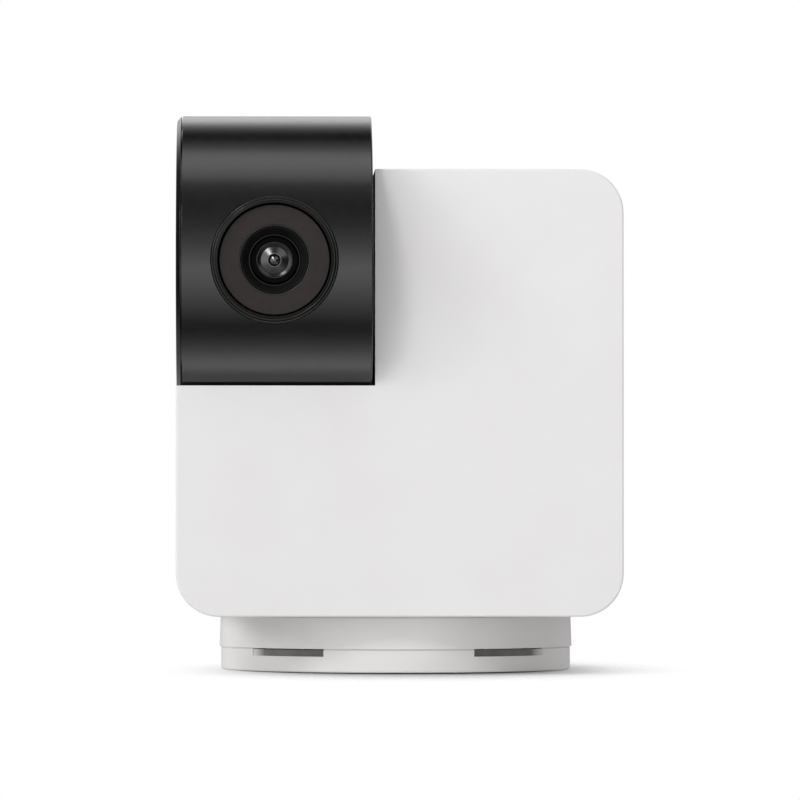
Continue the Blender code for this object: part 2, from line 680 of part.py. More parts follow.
def make_pan_bush():
    outer = PAN_BUSH_RADIUS
    low = BODY_LOW_Z + SEAM_GAP
    shelf = FLOOR_Z + FIT_GAP
    profile = [(POST_HOLE, low), (outer, low), (outer, shelf), (outer + BUSH_FLANGE_WIDTH, shelf),
               (outer + BUSH_FLANGE_WIDTH, shelf + BUSH_FLANGE), (POST_HOLE, shelf + BUSH_FLANGE)]
    turned("pan_bush", (0, 0, 0), UP, profile, BEARING_PLASTIC, SMALL_SIDES * 2)


def cradle_rod(name, radius, right):
    start = -HALF_WIDTH - OVERRUN
    return rod(name, (start, TILT_Y, TILT_Z), RIGHT, radius, right - start, sides=BARREL_SIDES)


def rear_screw_places():
    # Each boss grows out of the inner corner of the shell
    corner = BODY_CORNER - SHELL_WALL
    reach = (corner + REAR_BOSS_SINK - REAR_BOSS_RADIUS) / math.sqrt(2)
    x = HALF_WIDTH - SHELL_WALL - corner + reach
    z = BODY_HEIGHT / 2 - SHELL_WALL - corner + reach
    return [(side_x * x, BODY_MID_Z + side_z * z) for side_x in (-1, 1) for side_z in (-1, 1)]


def make_front_shell():
    shell = block("front_shell", (-HALF_WIDTH, -HALF_DEPTH, BODY_LOW_Z),
                  (HALF_WIDTH, SHELL_BACK_Y, BODY_HIGH_Z), WHITE_PLASTIC,
                  along=1, corner=BODY_CORNER, front_edge=BODY_EDGE)
    inner_x = HALF_WIDTH - SHELL_WALL
    hollow = block("shell_hollow", (-inner_x, SHELL_WALL - HALF_DEPTH, FLOOR_Z),
                   (inner_x, SHELL_BACK_Y + OVERRUN, BODY_HIGH_Z - SHELL_WALL),
                   along=1, corner=BODY_CORNER - SHELL_WALL)
    cut(hollow, cradle_rod("cradle_backing", CRADLE_RADIUS + SHELL_WALL, WALL_X))
    cut(shell, hollow)
    for index, (x, z) in enumerate(rear_screw_places()):
        boss = rod(f"rear_boss_{index}", (x, BOSS_BACK_Y, z), FRONT, REAR_BOSS_RADIUS, REAR_BOSS_LENGTH)
        pilot = rod(f"rear_pilot_{index}", (x, BOSS_BACK_Y + OVERRUN, z), FRONT, SHANK_RADIUS + FIT_GAP,
                    REAR_SCREW_LENGTH, sides=SCREW_SIDES)
        join(shell, boss)
        cut(shell, pilot)
    bush_hole = rod("tilt_bush_hole", (CUT_X - OVERRUN, TILT_Y, TILT_Z), RIGHT, BUSH_RADIUS + FIT_GAP,
                    SHELL_WALL + 2 * OVERRUN)
    post_hole = rod("pan_bush_hole", (0, 0, BODY_LOW_Z - OVERRUN), UP, PAN_BUSH_RADIUS + FIT_GAP,
                    SHELL_WALL + 2 * OVERRUN, sides=SMALL_SIDES * 2)
    cut(shell, cradle_rod("cradle_cut", CRADLE_RADIUS, CUT_X), bush_hole, post_hole)


def grille_cutter():
    # The slots in front of the speaker
    outlines = []
    ends = SMALL_SIDES // 4
    for index in range(GRILLE_SLOTS):
        z = (index - (GRILLE_SLOTS - 1) / 2) * GRILLE_PITCH
        straight = GRILLE_WIDTH / 2 - GRILLE_HEIGHT / 2
        outline = []
        for side in (1, -1):
            for step in range(ends + 1):
                angle = side * math.pi / 2 + math.pi * step / ends - math.pi
                outline.append((side * straight + GRILLE_HEIGHT / 2 * math.cos(angle),
                                z + GRILLE_HEIGHT / 2 * math.sin(angle)))
        outlines.append(outline)
    start = (0, HALF_DEPTH + OVERRUN, SPEAKER_Z)
    return flat_outline("grille_cut", start, FRONT, outlines, REAR_PLATE + 2 * OVERRUN)


def board_screw_places():
    # In the board's upper left and lower right corners
    x = MAIN_BOARD_WIDTH / 2 - BOARD_SCREW_INSET
    z = MAIN_BOARD_HEIGHT / 2 - BOARD_SCREW_INSET
    return [(side * x, MAIN_BOARD_Z - side * z) for side in (-1, 1)]


def make_rear_cover():
    cover = block("rear_cover", (-HALF_WIDTH, PLATE_Y, BODY_LOW_Z), (HALF_WIDTH, HALF_DEPTH, BODY_HIGH_Z),
                  WHITE_PLASTIC, along=1, corner=BODY_CORNER, back_edge=BODY_EDGE)
    inset = SHELL_WALL + FIT_GAP
    skirt = block("cover_skirt", (inset - HALF_WIDTH, SKIRT_FRONT_Y, BODY_LOW_Z + inset),
                  (HALF_WIDTH - inset, PLATE_Y + REAR_PLATE / 2, BODY_HIGH_Z - inset),
                  along=1, corner=BODY_CORNER - inset)
    inner = inset + SKIRT_WALL
    hollow = block("cover_hollow", (inner - HALF_WIDTH, SKIRT_FRONT_Y - OVERRUN, BODY_LOW_Z + inner),
                   (HALF_WIDTH - inner, PLATE_Y, BODY_HIGH_Z - inner), along=1, corner=BODY_CORNER - inner)
    join(cover, skirt)
    cut(cover, hollow)
    for index, (x, z) in enumerate(board_screw_places()):
        post = rod(f"standoff_{index}", (x, PLATE_Y + REAR_PLATE / 2, z), FRONT, STANDOFF_RADIUS,
                   REAR_PLATE / 2 + BOARD_STANDOFF - FIT_GAP)
        pilot = rod(f"standoff_pilot_{index}", (x, BOARD_BACK_Y, z), BACK, SHANK_RADIUS + FIT_GAP,
                    BOARD_SCREW_LENGTH, sides=SCREW_SIDES)
        join(cover, post)
        cut(cover, pilot)
    for index, (x, z) in enumerate(rear_screw_places()):
        hole = rod(f"cover_hole_{index}", (x, SKIRT_FRONT_Y - OVERRUN, z), BACK, SHANK_RADIUS + FIT_GAP,
                   SKIRT_LENGTH + REAR_PLATE + 2 * OVERRUN, sides=SCREW_SIDES)
        seat = rod(f"cover_seat_{index}", (x, HALF_DEPTH + OVERRUN, z), FRONT, HEAD_RADIUS + FIT_GAP,
                   OVERRUN + HEAD_THICK + FIT_GAP)
        cut(cover, hole, seat)
    button_hole = rod("button_hole", (BUTTON_X, PLATE_Y - OVERRUN, BUTTON_Z), BACK, BUTTON_RADIUS + RUN_GAP,
                      REAR_PLATE + 2 * OVERRUN)
    cut(cover, grille_cutter(), button_hole)


def make_rear_screws():
    for index, (x, z) in enumerate(rear_screw_places()):
        start = (x, HALF_DEPTH - HEAD_THICK, z)
        screw(f"rear_screw_{index + 1}", start, FRONT, REAR_SCREW_LENGTH, drive=True)


def motor_frame(centre, aim, name, finish):
    # The can and its two ears; the start is the ears' mounting face, and the aim is away from it
    outline = circle(MOTOR_RADIUS, SMALL_SIDES * 2)
    can_profile = [(0, EAR_THICK / 2), (MOTOR_RADIUS, EAR_THICK / 2),
                   (MOTOR_RADIUS, MOTOR_LENGTH - MOTOR_EDGE), (MOTOR_RADIUS - MOTOR_EDGE, MOTOR_LENGTH),
                   (0, MOTOR_LENGTH)]
    ears = []
    steps = SMALL_SIDES // 2
    for side in (1, -1):
        for step in range(steps + 1):
            angle = math.pi * step / steps + (0 if side > 0 else math.pi)
            ears.append((EAR_RADIUS * math.cos(angle), side * EAR_REACH + EAR_RADIUS * math.sin(angle)))
    motor = flat_outline(name, centre, aim, [ears], EAR_THICK, finish)
    can = turned(name + "_can", centre, aim, can_profile, sides=len(outline))
    well = rod(name + "_well", centre, aim, SHAFT_RADIUS + RUN_GAP, SHAFT_LENGTH)
    join(motor, can)
    return motor, well


def drill_ears(obj, name, places, aim, back, length):
    # Screw holes through the ears or the bracket
    for index, place in enumerate(places):
        start = [a + b for a, b in zip(place, back)]
        hole = rod(f"{name}_ear_hole_{index}", start, aim, SHANK_RADIUS + FIT_GAP, length, sides=SCREW_SIDES)
        cut(obj, hole)


def pan_ear_places(z):
    return [(PAN_CENTRES, side * EAR_REACH, z) for side in (-1, 1)]


def tilt_ear_places(x):
    return [(x, TILT_Y + TILT_CENTRES, TILT_Z + side * EAR_REACH) for side in (-1, 1)]


def make_pan_motor():
    face = PAN_BRACKET_Z + BRACKET_THICK + FIT_GAP
    motor, well = motor_frame((PAN_CENTRES, 0, face), UP, "pan_motor", STEEL)
    well.location.z -= OVERRUN
    cut(motor, well)
    drill_ears(motor, "pan_motor", pan_ear_places(face), UP, (0, 0, -OVERRUN), EAR_THICK + 2 * OVERRUN)
    length = face + EAR_THICK + FIT_GAP - FLOOR_Z - 2 * FIT_GAP
    for index, place in enumerate(pan_ear_places(face + EAR_THICK + FIT_GAP)):
        screw(f"pan_motor_screw_{index + 1}", place, DOWN, length)


def make_pan_bracket():
    half = EAR_REACH + EAR_RADIUS + BRACKET_MARGIN
    reach = BRACKET_HOLE + BRACKET_POST_RADIUS
    low = FLOOR_Z + FIT_GAP
    plate = block("pan_motor_bracket", (PAN_CENTRES - reach, -half, PAN_BRACKET_Z),
                  (PAN_CENTRES + reach, half, PAN_BRACKET_Z + BRACKET_THICK), BEARING_PLASTIC,
                  along=2, corner=BRACKET_POST_RADIUS, steps=4)
    for index, (x, y, z) in enumerate(pan_ear_places(low)):
        post = rod(f"pan_bracket_post_{index}", (x, y, z), UP, BRACKET_POST_RADIUS,
                   PAN_BRACKET_Z + BRACKET_THICK / 2 - low)
        join(plate, post)
    opening = rod("pan_bracket_opening", (PAN_CENTRES, 0, PAN_BRACKET_Z - OVERRUN), UP, BRACKET_HOLE,
                  BRACKET_THICK + 2 * OVERRUN)
    cut(plate, opening)
    drill_ears(plate, "pan_bracket", pan_ear_places(low), UP, (0, 0, -OVERRUN),
               PAN_BRACKET_Z + BRACKET_THICK - low + 2 * OVERRUN)


def make_pan_pinion():
    # A gap of the pinion faces the sun gear's first tooth
    start = (PAN_CENTRES, 0, PAN_GEAR_Z)
    outline = gear_outline(PAN_PINION_TEETH, PAN_MODULE, math.pi + math.pi / PAN_PINION_TEETH)
    pinion = flat_outline("pan_pinion", start, UP, [outline], PAN_GEAR_WIDTH, GEAR_PLASTIC)
    middle = PAN_GEAR_Z + PAN_GEAR_WIDTH / 2
    end = PAN_BRACKET_Z + BRACKET_THICK + SHAFT_LENGTH - OVERRUN
    shaft = rod("pan_shaft", (PAN_CENTRES, 0, middle), UP, SHAFT_RADIUS, end - middle)
    join(pinion, shaft)


def make_tilt_motor():
    face = TILT_BRACKET_X + BRACKET_THICK + FIT_GAP
    turn = (math.pi / 2, 0, math.pi / 2)
    motor, well = motor_frame((face, TILT_Y + TILT_CENTRES, TILT_Z), turn, "tilt_motor", STEEL)
    well.location.x -= OVERRUN
    cut(motor, well)
    drill_ears(motor, "tilt_motor", tilt_ear_places(face), RIGHT, (-OVERRUN, 0, 0), EAR_THICK + 2 * OVERRUN)
    length = face + EAR_THICK + FIT_GAP - WALL_X - 2 * FIT_GAP
    for index, place in enumerate(tilt_ear_places(face + EAR_THICK + FIT_GAP)):
        screw(f"tilt_motor_screw_{index + 1}", place, LEFT, length)


def make_tilt_bracket():
    half = EAR_REACH + EAR_RADIUS + BRACKET_MARGIN
    reach = BRACKET_HOLE + BRACKET_POST_RADIUS
    middle = TILT_Y + TILT_CENTRES
    low = WALL_X + FIT_GAP
    plate = block("tilt_motor_bracket", (TILT_BRACKET_X, middle - reach, TILT_Z - half),
                  (TILT_BRACKET_X + BRACKET_THICK, middle + reach, TILT_Z + half), BEARING_PLASTIC,
                  along=0, corner=BRACKET_POST_RADIUS, steps=4)
    for index, (x, y, z) in enumerate(tilt_ear_places(low)):
        post = rod(f"tilt_bracket_post_{index}", (x, y, z), RIGHT, BRACKET_POST_RADIUS,
                   TILT_BRACKET_X + BRACKET_THICK / 2 - low)
        join(plate, post)
    opening = rod("tilt_bracket_opening", (TILT_BRACKET_X - OVERRUN, middle, TILT_Z), RIGHT, BRACKET_HOLE,
                  BRACKET_THICK + 2 * OVERRUN)
    cut(plate, opening)
    drill_ears(plate, "tilt_bracket", tilt_ear_places(low), RIGHT, (-OVERRUN, 0, 0),
               TILT_BRACKET_X + BRACKET_THICK - low + 2 * OVERRUN)


def make_tilt_pinion():
    # Turned so that a gap faces the tilt gear's first tooth
    start = (TILT_GEAR_X, TILT_Y + TILT_CENTRES, TILT_Z)
    turn = (math.pi / 2, 0, math.pi / 2)
    outline = gear_outline(TILT_PINION_TEETH, TILT_MODULE, math.pi + math.pi / TILT_PINION_TEETH)
    pinion = flat_outline("tilt_pinion", start, turn, [outline], TILT_GEAR_WIDTH, GEAR_PLASTIC)
    middle = TILT_GEAR_X + TILT_GEAR_WIDTH / 2
    end = TILT_BRACKET_X + BRACKET_THICK + SHAFT_LENGTH - OVERRUN
    shaft = rod("tilt_shaft", (middle, start[1], TILT_Z), RIGHT, SHAFT_RADIUS, end - middle)
    join(pinion, shaft)


def make_tilt_gear():
    turn = (math.pi / 2, 0, math.pi / 2)
    outlines = [gear_outline(TILT_TEETH, TILT_MODULE, 0), circle(HUB_RADIUS + FIT_GAP, SMALL_SIDES)]
    flat_outline("tilt_gear", (TILT_GEAR_X, TILT_Y, TILT_Z), turn, outlines, TILT_GEAR_WIDTH, GEAR_PLASTIC)


def make_tilt_drive():
    # The whole drive hangs from an empty on the tilt axis, which turns it clear of the top wall
    before = list(bpy.data.objects)
    make_tilt_gear()
    make_tilt_pinion()
    make_tilt_bracket()
    make_tilt_motor()
    made = [obj for obj in bpy.data.objects if obj not in before]
    axis = bpy.data.objects.new("tilt_axis", None)
    axis.location = (0, TILT_Y, TILT_Z)
    axis.rotation_euler = (TILT_DRIVE_ANGLE, 0, 0)
    PARTS.objects.link(axis)
    for obj in made:
        obj.parent = axis
        obj.matrix_parent_inverse = Matrix.Translation((0, -TILT_Y, -TILT_Z))


def make_tilt_bush():
    low = CUT_X + SEAM_GAP - WALL_X
    outer = BUSH_RADIUS
    profile = [(HUB_HOLE, low), (outer, low), (outer, FIT_GAP), (outer + BUSH_FLANGE_WIDTH, FIT_GAP),
               (outer + BUSH_FLANGE_WIDTH, FIT_GAP + BUSH_FLANGE), (HUB_HOLE, FIT_GAP + BUSH_FLANGE)]
    turned("tilt_bush", (WALL_X, TILT_Y, TILT_Z), RIGHT, profile, BEARING_PLASTIC, SMALL_SIDES)


def make_tilt_hub():
    length = HUB_END_X - HUB_FLANGE_X
    profile = [(HUB_BORE, -HUB_FLANGE), (HUB_FLANGE_RADIUS, -HUB_FLANGE), (HUB_FLANGE_RADIUS, 0),
               (HUB_RADIUS, 0), (HUB_RADIUS, length), (HUB_BORE, length)]
    turned("tilt_hub", (HUB_FLANGE_X, TILT_Y, TILT_Z), RIGHT, profile, BEARING_PLASTIC, SMALL_SIDES)


def make_hub_clip():
    inner = HUB_RADIUS + FIT_GAP
    profile = [(inner, 0), (inner + CLIP_WIDTH, 0), (inner + CLIP_WIDTH, CLIP_THICK), (inner, CLIP_THICK)]
    turned("hub_clip", (TILT_CLIP_X, TILT_Y, TILT_Z), RIGHT, profile, STEEL, SMALL_SIDES)


def make_head_barrel():
    start = (BARREL_RIGHT_X, TILT_Y, TILT_Z)
    profile = [(HUB_RADIUS + FIT_GAP, 0), (BARREL_RADIUS - BARREL_EDGE, 0), (BARREL_RADIUS, BARREL_EDGE),
               (BARREL_RADIUS, BARREL_LENGTH), (BARREL_BORE, BARREL_LENGTH), (BARREL_BORE, BARREL_WALL),
               (HUB_RADIUS + FIT_GAP, BARREL_WALL)]
    barrel = turned("head_barrel", start, LEFT, profile, BLACK_PLASTIC, BARREL_SIDES)
    opening = rod("lens_opening", (LENS_X, TILT_Y, TILT_Z), FRONT, BEZEL_RADIUS + FIT_GAP,
                  BARREL_RADIUS + OVERRUN, sides=LENS_SIDES)
    cut(barrel, opening)


def make_head_end_cap():
    skirt = BARREL_BORE - FIT_GAP
    inner = skirt - CAP_SKIRT_WALL
    depth = CAP_CHAMFER - CAP_PLATE
    profile = [(0, CAP_CHAMFER), (BARREL_RADIUS - CAP_CHAMFER_FALL, CAP_CHAMFER), (BARREL_RADIUS, 0),
               (skirt, 0), (skirt, -CAP_SKIRT), (inner, -CAP_SKIRT), (inner, depth), (0, depth)]
    turned("head_end_cap", (CAP_SEAM_X, TILT_Y, TILT_Z), LEFT, profile, BLACK_PLASTIC, BARREL_SIDES)


def lens_turned(name, y, profile, finish, sides=LENS_SIDES):
    # Heights run backwards from the piece's own front
    return turned(name, (LENS_X, y, TILT_Z), BACK, profile, finish, sides)


def make_lens_bezel():
    back = FLANGE_BACK_Y - BEZEL_FRONT_Y
    flange = FLANGE_FRONT_Y - BEZEL_FRONT_Y
    step = BEZEL_RADIUS - BEZEL_LIP
    profile = [(BEZEL_RADIUS, BEZEL_LIP), (step, BEZEL_STEP), (step - BEZEL_STEP_WIDTH / 2, BEZEL_STEP),
               (step - BEZEL_STEP_WIDTH, 0), (BEZEL_BORE, BEZEL_LIP / 2), (BEZEL_BORE, back),
               (FLANGE_RADIUS, back), (FLANGE_RADIUS, flange), (BEZEL_RADIUS, flange)]
    lens_turned("lens_bezel", BEZEL_FRONT_Y, profile, BLACK_PLASTIC)


def make_ir_window():
    edge = OPTIC_EDGE
    profile = [(WINDOW_BORE, edge), (WINDOW_BORE + edge, 0), (WINDOW_RADIUS, 0),
               (WINDOW_RADIUS, WINDOW_THICK), (WINDOW_BORE, WINDOW_THICK)]
    lens_turned("ir_window", WINDOW_FRONT_Y, profile, SMOKED_WINDOW)


def make_lens_hood():
    front = OPTIC_EDGE
    profile = [(HOOD_RADIUS, front), (HOOD_RADIUS - front, front), (HOOD_THROAT, HOOD_CONE),
               (HOOD_THROAT, HOOD_LENGTH), (HOOD_RADIUS, HOOD_LENGTH)]
    lens_turned("lens_hood", WINDOW_FRONT_Y, profile, MATT_BLACK)


def make_lens_barrel():
    ring = LENS_RING_BORE
    seat = LENS_RING_SINK + GLASS_RISE + GLASS_THICK + FIT_GAP
    profile = [(LENS_RADIUS, OPTIC_EDGE), (LENS_RADIUS - OPTIC_EDGE, 0), (ring + OPTIC_EDGE, 0),
               (ring, LENS_RING_SINK), (ring, seat), (0, seat), (0, LENS_LENGTH), (LENS_RADIUS, LENS_LENGTH)]
    lens_turned("lens_barrel", LENS_FRONT_Y, profile, MATT_BLACK)


def make_front_lens():
    # A domed front on a flat back
    ball = (GLASS_RADIUS ** 2 + GLASS_RISE ** 2) / (2 * GLASS_RISE)
    steps = CORNER_STEPS
    profile = []
    for step in range(steps + 1):
        radius = GLASS_RADIUS * step / steps
        profile.append((radius, ball - math.sqrt(ball ** 2 - radius ** 2)))
    profile += [(GLASS_RADIUS, GLASS_RISE + GLASS_THICK), (0, GLASS_RISE + GLASS_THICK)]
    lens_turned("front_lens", LENS_FRONT_Y + LENS_RING_SINK, profile, LENS_GLASS)


def make_lens_holder():
    front = MOUNT_FRONT_Y + MOUNT_PLATE + FIT_GAP
    half = HOLDER_WIDTH / 2
    holder = block("lens_holder", (LENS_X - half, front, TILT_Z - half),
                   (LENS_X + half, HOLDER_BACK_Y, TILT_Z + half), MATT_BLACK,
                   along=1, corner=HOLDER_CORNER, steps=3)
    bore = rod("holder_bore", (LENS_X, front - OVERRUN, TILT_Z), BACK, LENS_RADIUS + FIT_GAP,
               HOLDER_BACK_Y - front + 2 * OVERRUN, sides=LENS_SIDES)
    side = SENSOR_WIDTH / 2 + FIT_GAP
    chamber = block("holder_chamber", (LENS_X - side, HOLDER_BACK_Y - SENSOR_THICK - FIT_GAP, TILT_Z - side),
                    (LENS_X + side, HOLDER_BACK_Y + OVERRUN, TILT_Z + side))
    cut(holder, bore, chamber)


def make_image_sensor():
    half = SENSOR_WIDTH / 2
    back = SENSOR_BOARD_Y - FIT_GAP
    block("image_sensor", (LENS_X - half, back - SENSOR_THICK, TILT_Z - half),
          (LENS_X + half, back, TILT_Z + half), CHIP_BLACK, along=1, corner=CHIP_CORNER, steps=1)


def mount_post_places():
    x = SENSOR_BOARD_WIDTH / 2 - MOUNT_POST_RADIUS - MOUNT_POST_INSET
    return [(LENS_X + side * x, TILT_Z) for side in (-1, 1)]


def make_sensor_board():
    half_x = SENSOR_BOARD_WIDTH / 2
    half_z = SENSOR_BOARD_HEIGHT / 2
    board = block("sensor_board", (LENS_X - half_x, SENSOR_BOARD_Y, TILT_Z - half_z),
                  (LENS_X + half_x, SENSOR_BOARD_Y + BOARD_THICK, TILT_Z + half_z), GREEN_BOARD,
                  along=1, corner=MAIN_BOARD_CORNER, steps=3)
    for index, (x, z) in enumerate(mount_post_places()):
        hole = rod(f"sensor_hole_{index}", (x, SENSOR_BOARD_Y - OVERRUN, z), BACK, SHANK_RADIUS + FIT_GAP,
                   BOARD_THICK + 2 * OVERRUN, sides=SCREW_SIDES)
        cut(board, hole)
        start = (x, SENSOR_BOARD_Y + BOARD_THICK + FIT_GAP, z)
        screw(f"sensor_screw_{index + 1}", start, FRONT, SENSOR_SCREW_LENGTH)


def make_optics_mount():
    # A ring behind the bezel's flange with two posts that carry the sensor board
    inner = HOLDER_WIDTH / 2
    profile = [(inner, 0), (FLANGE_RADIUS, 0), (FLANGE_RADIUS, MOUNT_PLATE), (inner, MOUNT_PLATE)]
    mount = lens_turned("optics_mount", MOUNT_FRONT_Y, profile, MATT_BLACK)
    start = MOUNT_FRONT_Y + MOUNT_PLATE / 2
    length = SENSOR_BOARD_Y - FIT_GAP - start
    for index, (x, z) in enumerate(mount_post_places()):
        post = rod(f"mount_post_{index}", (x, start, z), BACK, MOUNT_POST_RADIUS, length)
        pilot = rod(f"mount_pilot_{index}", (x, SENSOR_BOARD_Y, z), FRONT, SHANK_RADIUS + FIT_GAP,
                    SENSOR_SCREW_LENGTH, sides=SCREW_SIDES)
        join(mount, post)
        cut(mount, pilot)


def make_led_board():
    outer = BEZEL_BORE - FIT_GAP
    inner = HOOD_RADIUS + FIT_GAP
    profile = [(inner, 0), (outer, 0), (outer, BOARD_THICK), (inner, BOARD_THICK)]
    lens_turned("led_board", LED_BOARD_Y, profile, GREEN_BOARD)
    ring = (inner + outer) / 2
    half = LED_WIDTH / 2
    front = WINDOW_FRONT_Y + WINDOW_THICK + FIT_GAP
    back = LED_BOARD_Y - FIT_GAP
    for index in range(LED_COUNT):
        angle = 2 * math.pi * (index + 0.5) / LED_COUNT
        x = LENS_X + ring * math.cos(angle)
        z = TILT_Z + ring * math.sin(angle)
        block(f"ir_led_{index + 1}", (x - half, front, z - half), (x + half, back, z + half), LED_RESIN,
              along=1, corner=CHIP_CORNER, steps=2)


def make_main_board():
    half_x = MAIN_BOARD_WIDTH / 2
    half_z = MAIN_BOARD_HEIGHT / 2
    board = block("main_board", (-half_x, BOARD_FRONT_Y, MAIN_BOARD_Z - half_z),
                  (half_x, BOARD_BACK_Y, MAIN_BOARD_Z + half_z), GREEN_BOARD,
                  along=1, corner=MAIN_BOARD_CORNER, steps=3)
    for index, (x, z) in enumerate(board_screw_places()):
        hole = rod(f"board_hole_{index}", (x, BOARD_FRONT_Y - OVERRUN, z), BACK, SHANK_RADIUS + FIT_GAP,
                   MAIN_BOARD_THICK + 2 * OVERRUN, sides=SCREW_SIDES)
        cut(board, hole)
        screw(f"board_screw_{index + 1}", (x, BOARD_FRONT_Y - FIT_GAP, z), BACK, BOARD_SCREW_LENGTH)


def make_board_parts():
    # What is soldered on the main board's front
    back = BOARD_FRONT_Y - FIT_GAP
    half = CAN_SIZE / 2
    block("shield_can", (CAN_X - half, back - CAN_THICK, MAIN_BOARD_Z - half),
          (CAN_X + half, back, MAIN_BOARD_Z + half), STEEL,
          along=1, corner=CHIP_CORNER, front_edge=CHIP_CORNER / 2, steps=2)
    half_x = RADIO_WIDTH / 2
    half_z = RADIO_HEIGHT / 2
    block("wifi_module", (RADIO_X - half_x, back - RADIO_THICK, MAIN_BOARD_Z - half_z),
          (RADIO_X + half_x, back, MAIN_BOARD_Z + half_z), CHIP_BLACK,
          along=1, corner=CHIP_CORNER, front_edge=CHIP_CORNER / 2, steps=2)


def make_speaker():
    # Heights run forwards from the rim behind the grille
    rim = SPEAKER_RIM
    profile = [(0, 2 * rim), (SPEAKER_RADIUS - 2 * rim, rim / 2), (SPEAKER_RADIUS - rim, 0),
               (SPEAKER_RADIUS, 0), (SPEAKER_RADIUS, rim), (SPEAKER_MAGNET, SPEAKER_DEPTH / 2),
               (SPEAKER_MAGNET, SPEAKER_DEPTH),
               (0, SPEAKER_DEPTH)]
    turned("speaker", (0, PLATE_Y - FIT_GAP, SPEAKER_Z), FRONT, profile, CHIP_BLACK, SMALL_SIDES)


def make_reset_button():
    # The flange behind the plate keeps the button in its hole
    flange = BUTTON_RADIUS + BUTTON_FLANGE_WIDTH
    top = PLATE_Y - RUN_GAP - BUTTON_FRONT_Y
    low = top - BUTTON_FLANGE
    edge = BUTTON_SINK
    profile = [(0, 0), (BUTTON_STEM_RADIUS, 0), (BUTTON_STEM_RADIUS, low), (flange, low), (flange, top),
               (BUTTON_RADIUS, top),
               (BUTTON_RADIUS, BUTTON_LENGTH - edge), (BUTTON_RADIUS - edge, BUTTON_LENGTH),
               (0, BUTTON_LENGTH)]
    turned("reset_button", (BUTTON_X, BUTTON_FRONT_Y, BUTTON_Z), BACK, profile, WHITE_PLASTIC)


def make_tact_switch():
    half = SWITCH_SIZE / 2
    switch = block("tact_switch", (BUTTON_X - half, SWITCH_FRONT_Y, BUTTON_Z - half),
                   (BUTTON_X + half, SWITCH_BACK_Y, BUTTON_Z + half), CHIP_BLACK,
                   along=1, corner=SWITCH_CORNER, steps=2)
    well = rod("switch_well", (BUTTON_X, SWITCH_BACK_Y + OVERRUN, BUTTON_Z), FRONT, PLUNGER_RADIUS + RUN_GAP,
               PLUNGER_WELL + OVERRUN)
    cut(switch, well)
    rod("switch_plunger", (BUTTON_X, SWITCH_BACK_Y - PLUNGER_DEPTH, BUTTON_Z), BACK, PLUNGER_RADIUS,
        PLUNGER_DEPTH + PLUNGER_PROUD, BLACK_PLASTIC)


# Base
make_rubber_pad()
make_base_lower_shell()
make_base_upper_shell()
make_base_screws()
make_glide_ring()
make_base_board()
make_usb_c_socket()
make_sun_gear()
make_post_nut()

# Housing
make_front_shell()
make_rear_cover()
make_rear_screws()
make_pan_bush()
make_pan_bracket()
make_pan_motor()
make_pan_pinion()
make_tilt_bush()
make_tilt_drive()
make_main_board()
make_board_parts()
make_speaker()
make_tact_switch()
make_reset_button()

# Camera head
make_head_barrel()
make_head_end_cap()
make_tilt_hub()
make_hub_clip()
make_lens_bezel()
make_ir_window()
make_lens_hood()
make_lens_barrel()
make_front_lens()
make_lens_holder()
make_image_sensor()
make_sensor_board()
make_optics_mount()
make_led_board()
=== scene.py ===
import math

import bmesh
import bpy
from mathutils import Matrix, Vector


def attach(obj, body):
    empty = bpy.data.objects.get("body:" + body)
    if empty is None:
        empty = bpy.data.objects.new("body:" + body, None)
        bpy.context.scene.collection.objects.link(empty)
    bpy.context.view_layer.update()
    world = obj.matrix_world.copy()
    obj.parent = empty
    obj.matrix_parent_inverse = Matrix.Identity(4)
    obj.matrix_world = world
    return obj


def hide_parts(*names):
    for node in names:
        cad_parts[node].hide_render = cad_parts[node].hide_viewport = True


# Pan and tilt pet camera, dressed on its CAD frame.
# Lengths in the dictionaries are millimetres. X runs right, the lens looks along -Y, Z is up.
mm = 0.001
nearly = 1e-7                # metres: closer than this counts as touching
sliver = 1e-8                # and a face thinner than this as none
filletSteps = 6
sharpAngle = math.radians(32)
upright = (0, 0, 0)
facingRight = (0, 90, 0)     # a lathe's height then runs along +X
facingLeft = (0, -90, 0)
facingBack = (-90, 0, 0)     # and here along +Y, from front to back
facingFront = (90, 0, 0)

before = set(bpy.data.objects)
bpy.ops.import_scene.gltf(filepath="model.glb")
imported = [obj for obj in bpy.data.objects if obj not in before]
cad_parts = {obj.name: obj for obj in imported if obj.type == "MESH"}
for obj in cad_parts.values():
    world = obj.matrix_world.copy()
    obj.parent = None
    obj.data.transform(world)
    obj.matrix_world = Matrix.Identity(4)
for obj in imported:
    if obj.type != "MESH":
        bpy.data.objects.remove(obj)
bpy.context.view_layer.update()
print("frame loaded")


def deselectAll():
    if bpy.context.object and bpy.context.object.mode != "OBJECT":
        bpy.ops.object.mode_set(mode="OBJECT")
    bpy.ops.object.select_all(action="DESELECT")


def pickOnly(obj):
    deselectAll()
    obj.select_set(True)
    bpy.context.view_layer.objects.active = obj


def metres(values):
    return Vector([value * mm for value in values])


def polar(radius, degrees):
    # X and Y of a point round the Z axis
    angle = math.radians(degrees)
    return radius * math.cos(angle), radius * math.sin(angle)


def nameAs(obj, name):
    obj.name = name
    obj.data.name = name
    return obj


def settlePlace(obj):
    # Puts the object's place, turn and scale into its mesh
    pickOnly(obj)
    bpy.ops.object.transform_apply(location=True, rotation=True, scale=True)


def edgesWhere(test):
    # In edge mode: selects the edges whose two ends pass the test together
    mesh = bpy.context.object.data
    bm = bmesh.from_edit_mesh(mesh)
    for edge in bm.edges:
        edge.select_set(bool(test(edge.verts[0].co, edge.verts[1].co)))
    bmesh.update_edit_mesh(mesh)


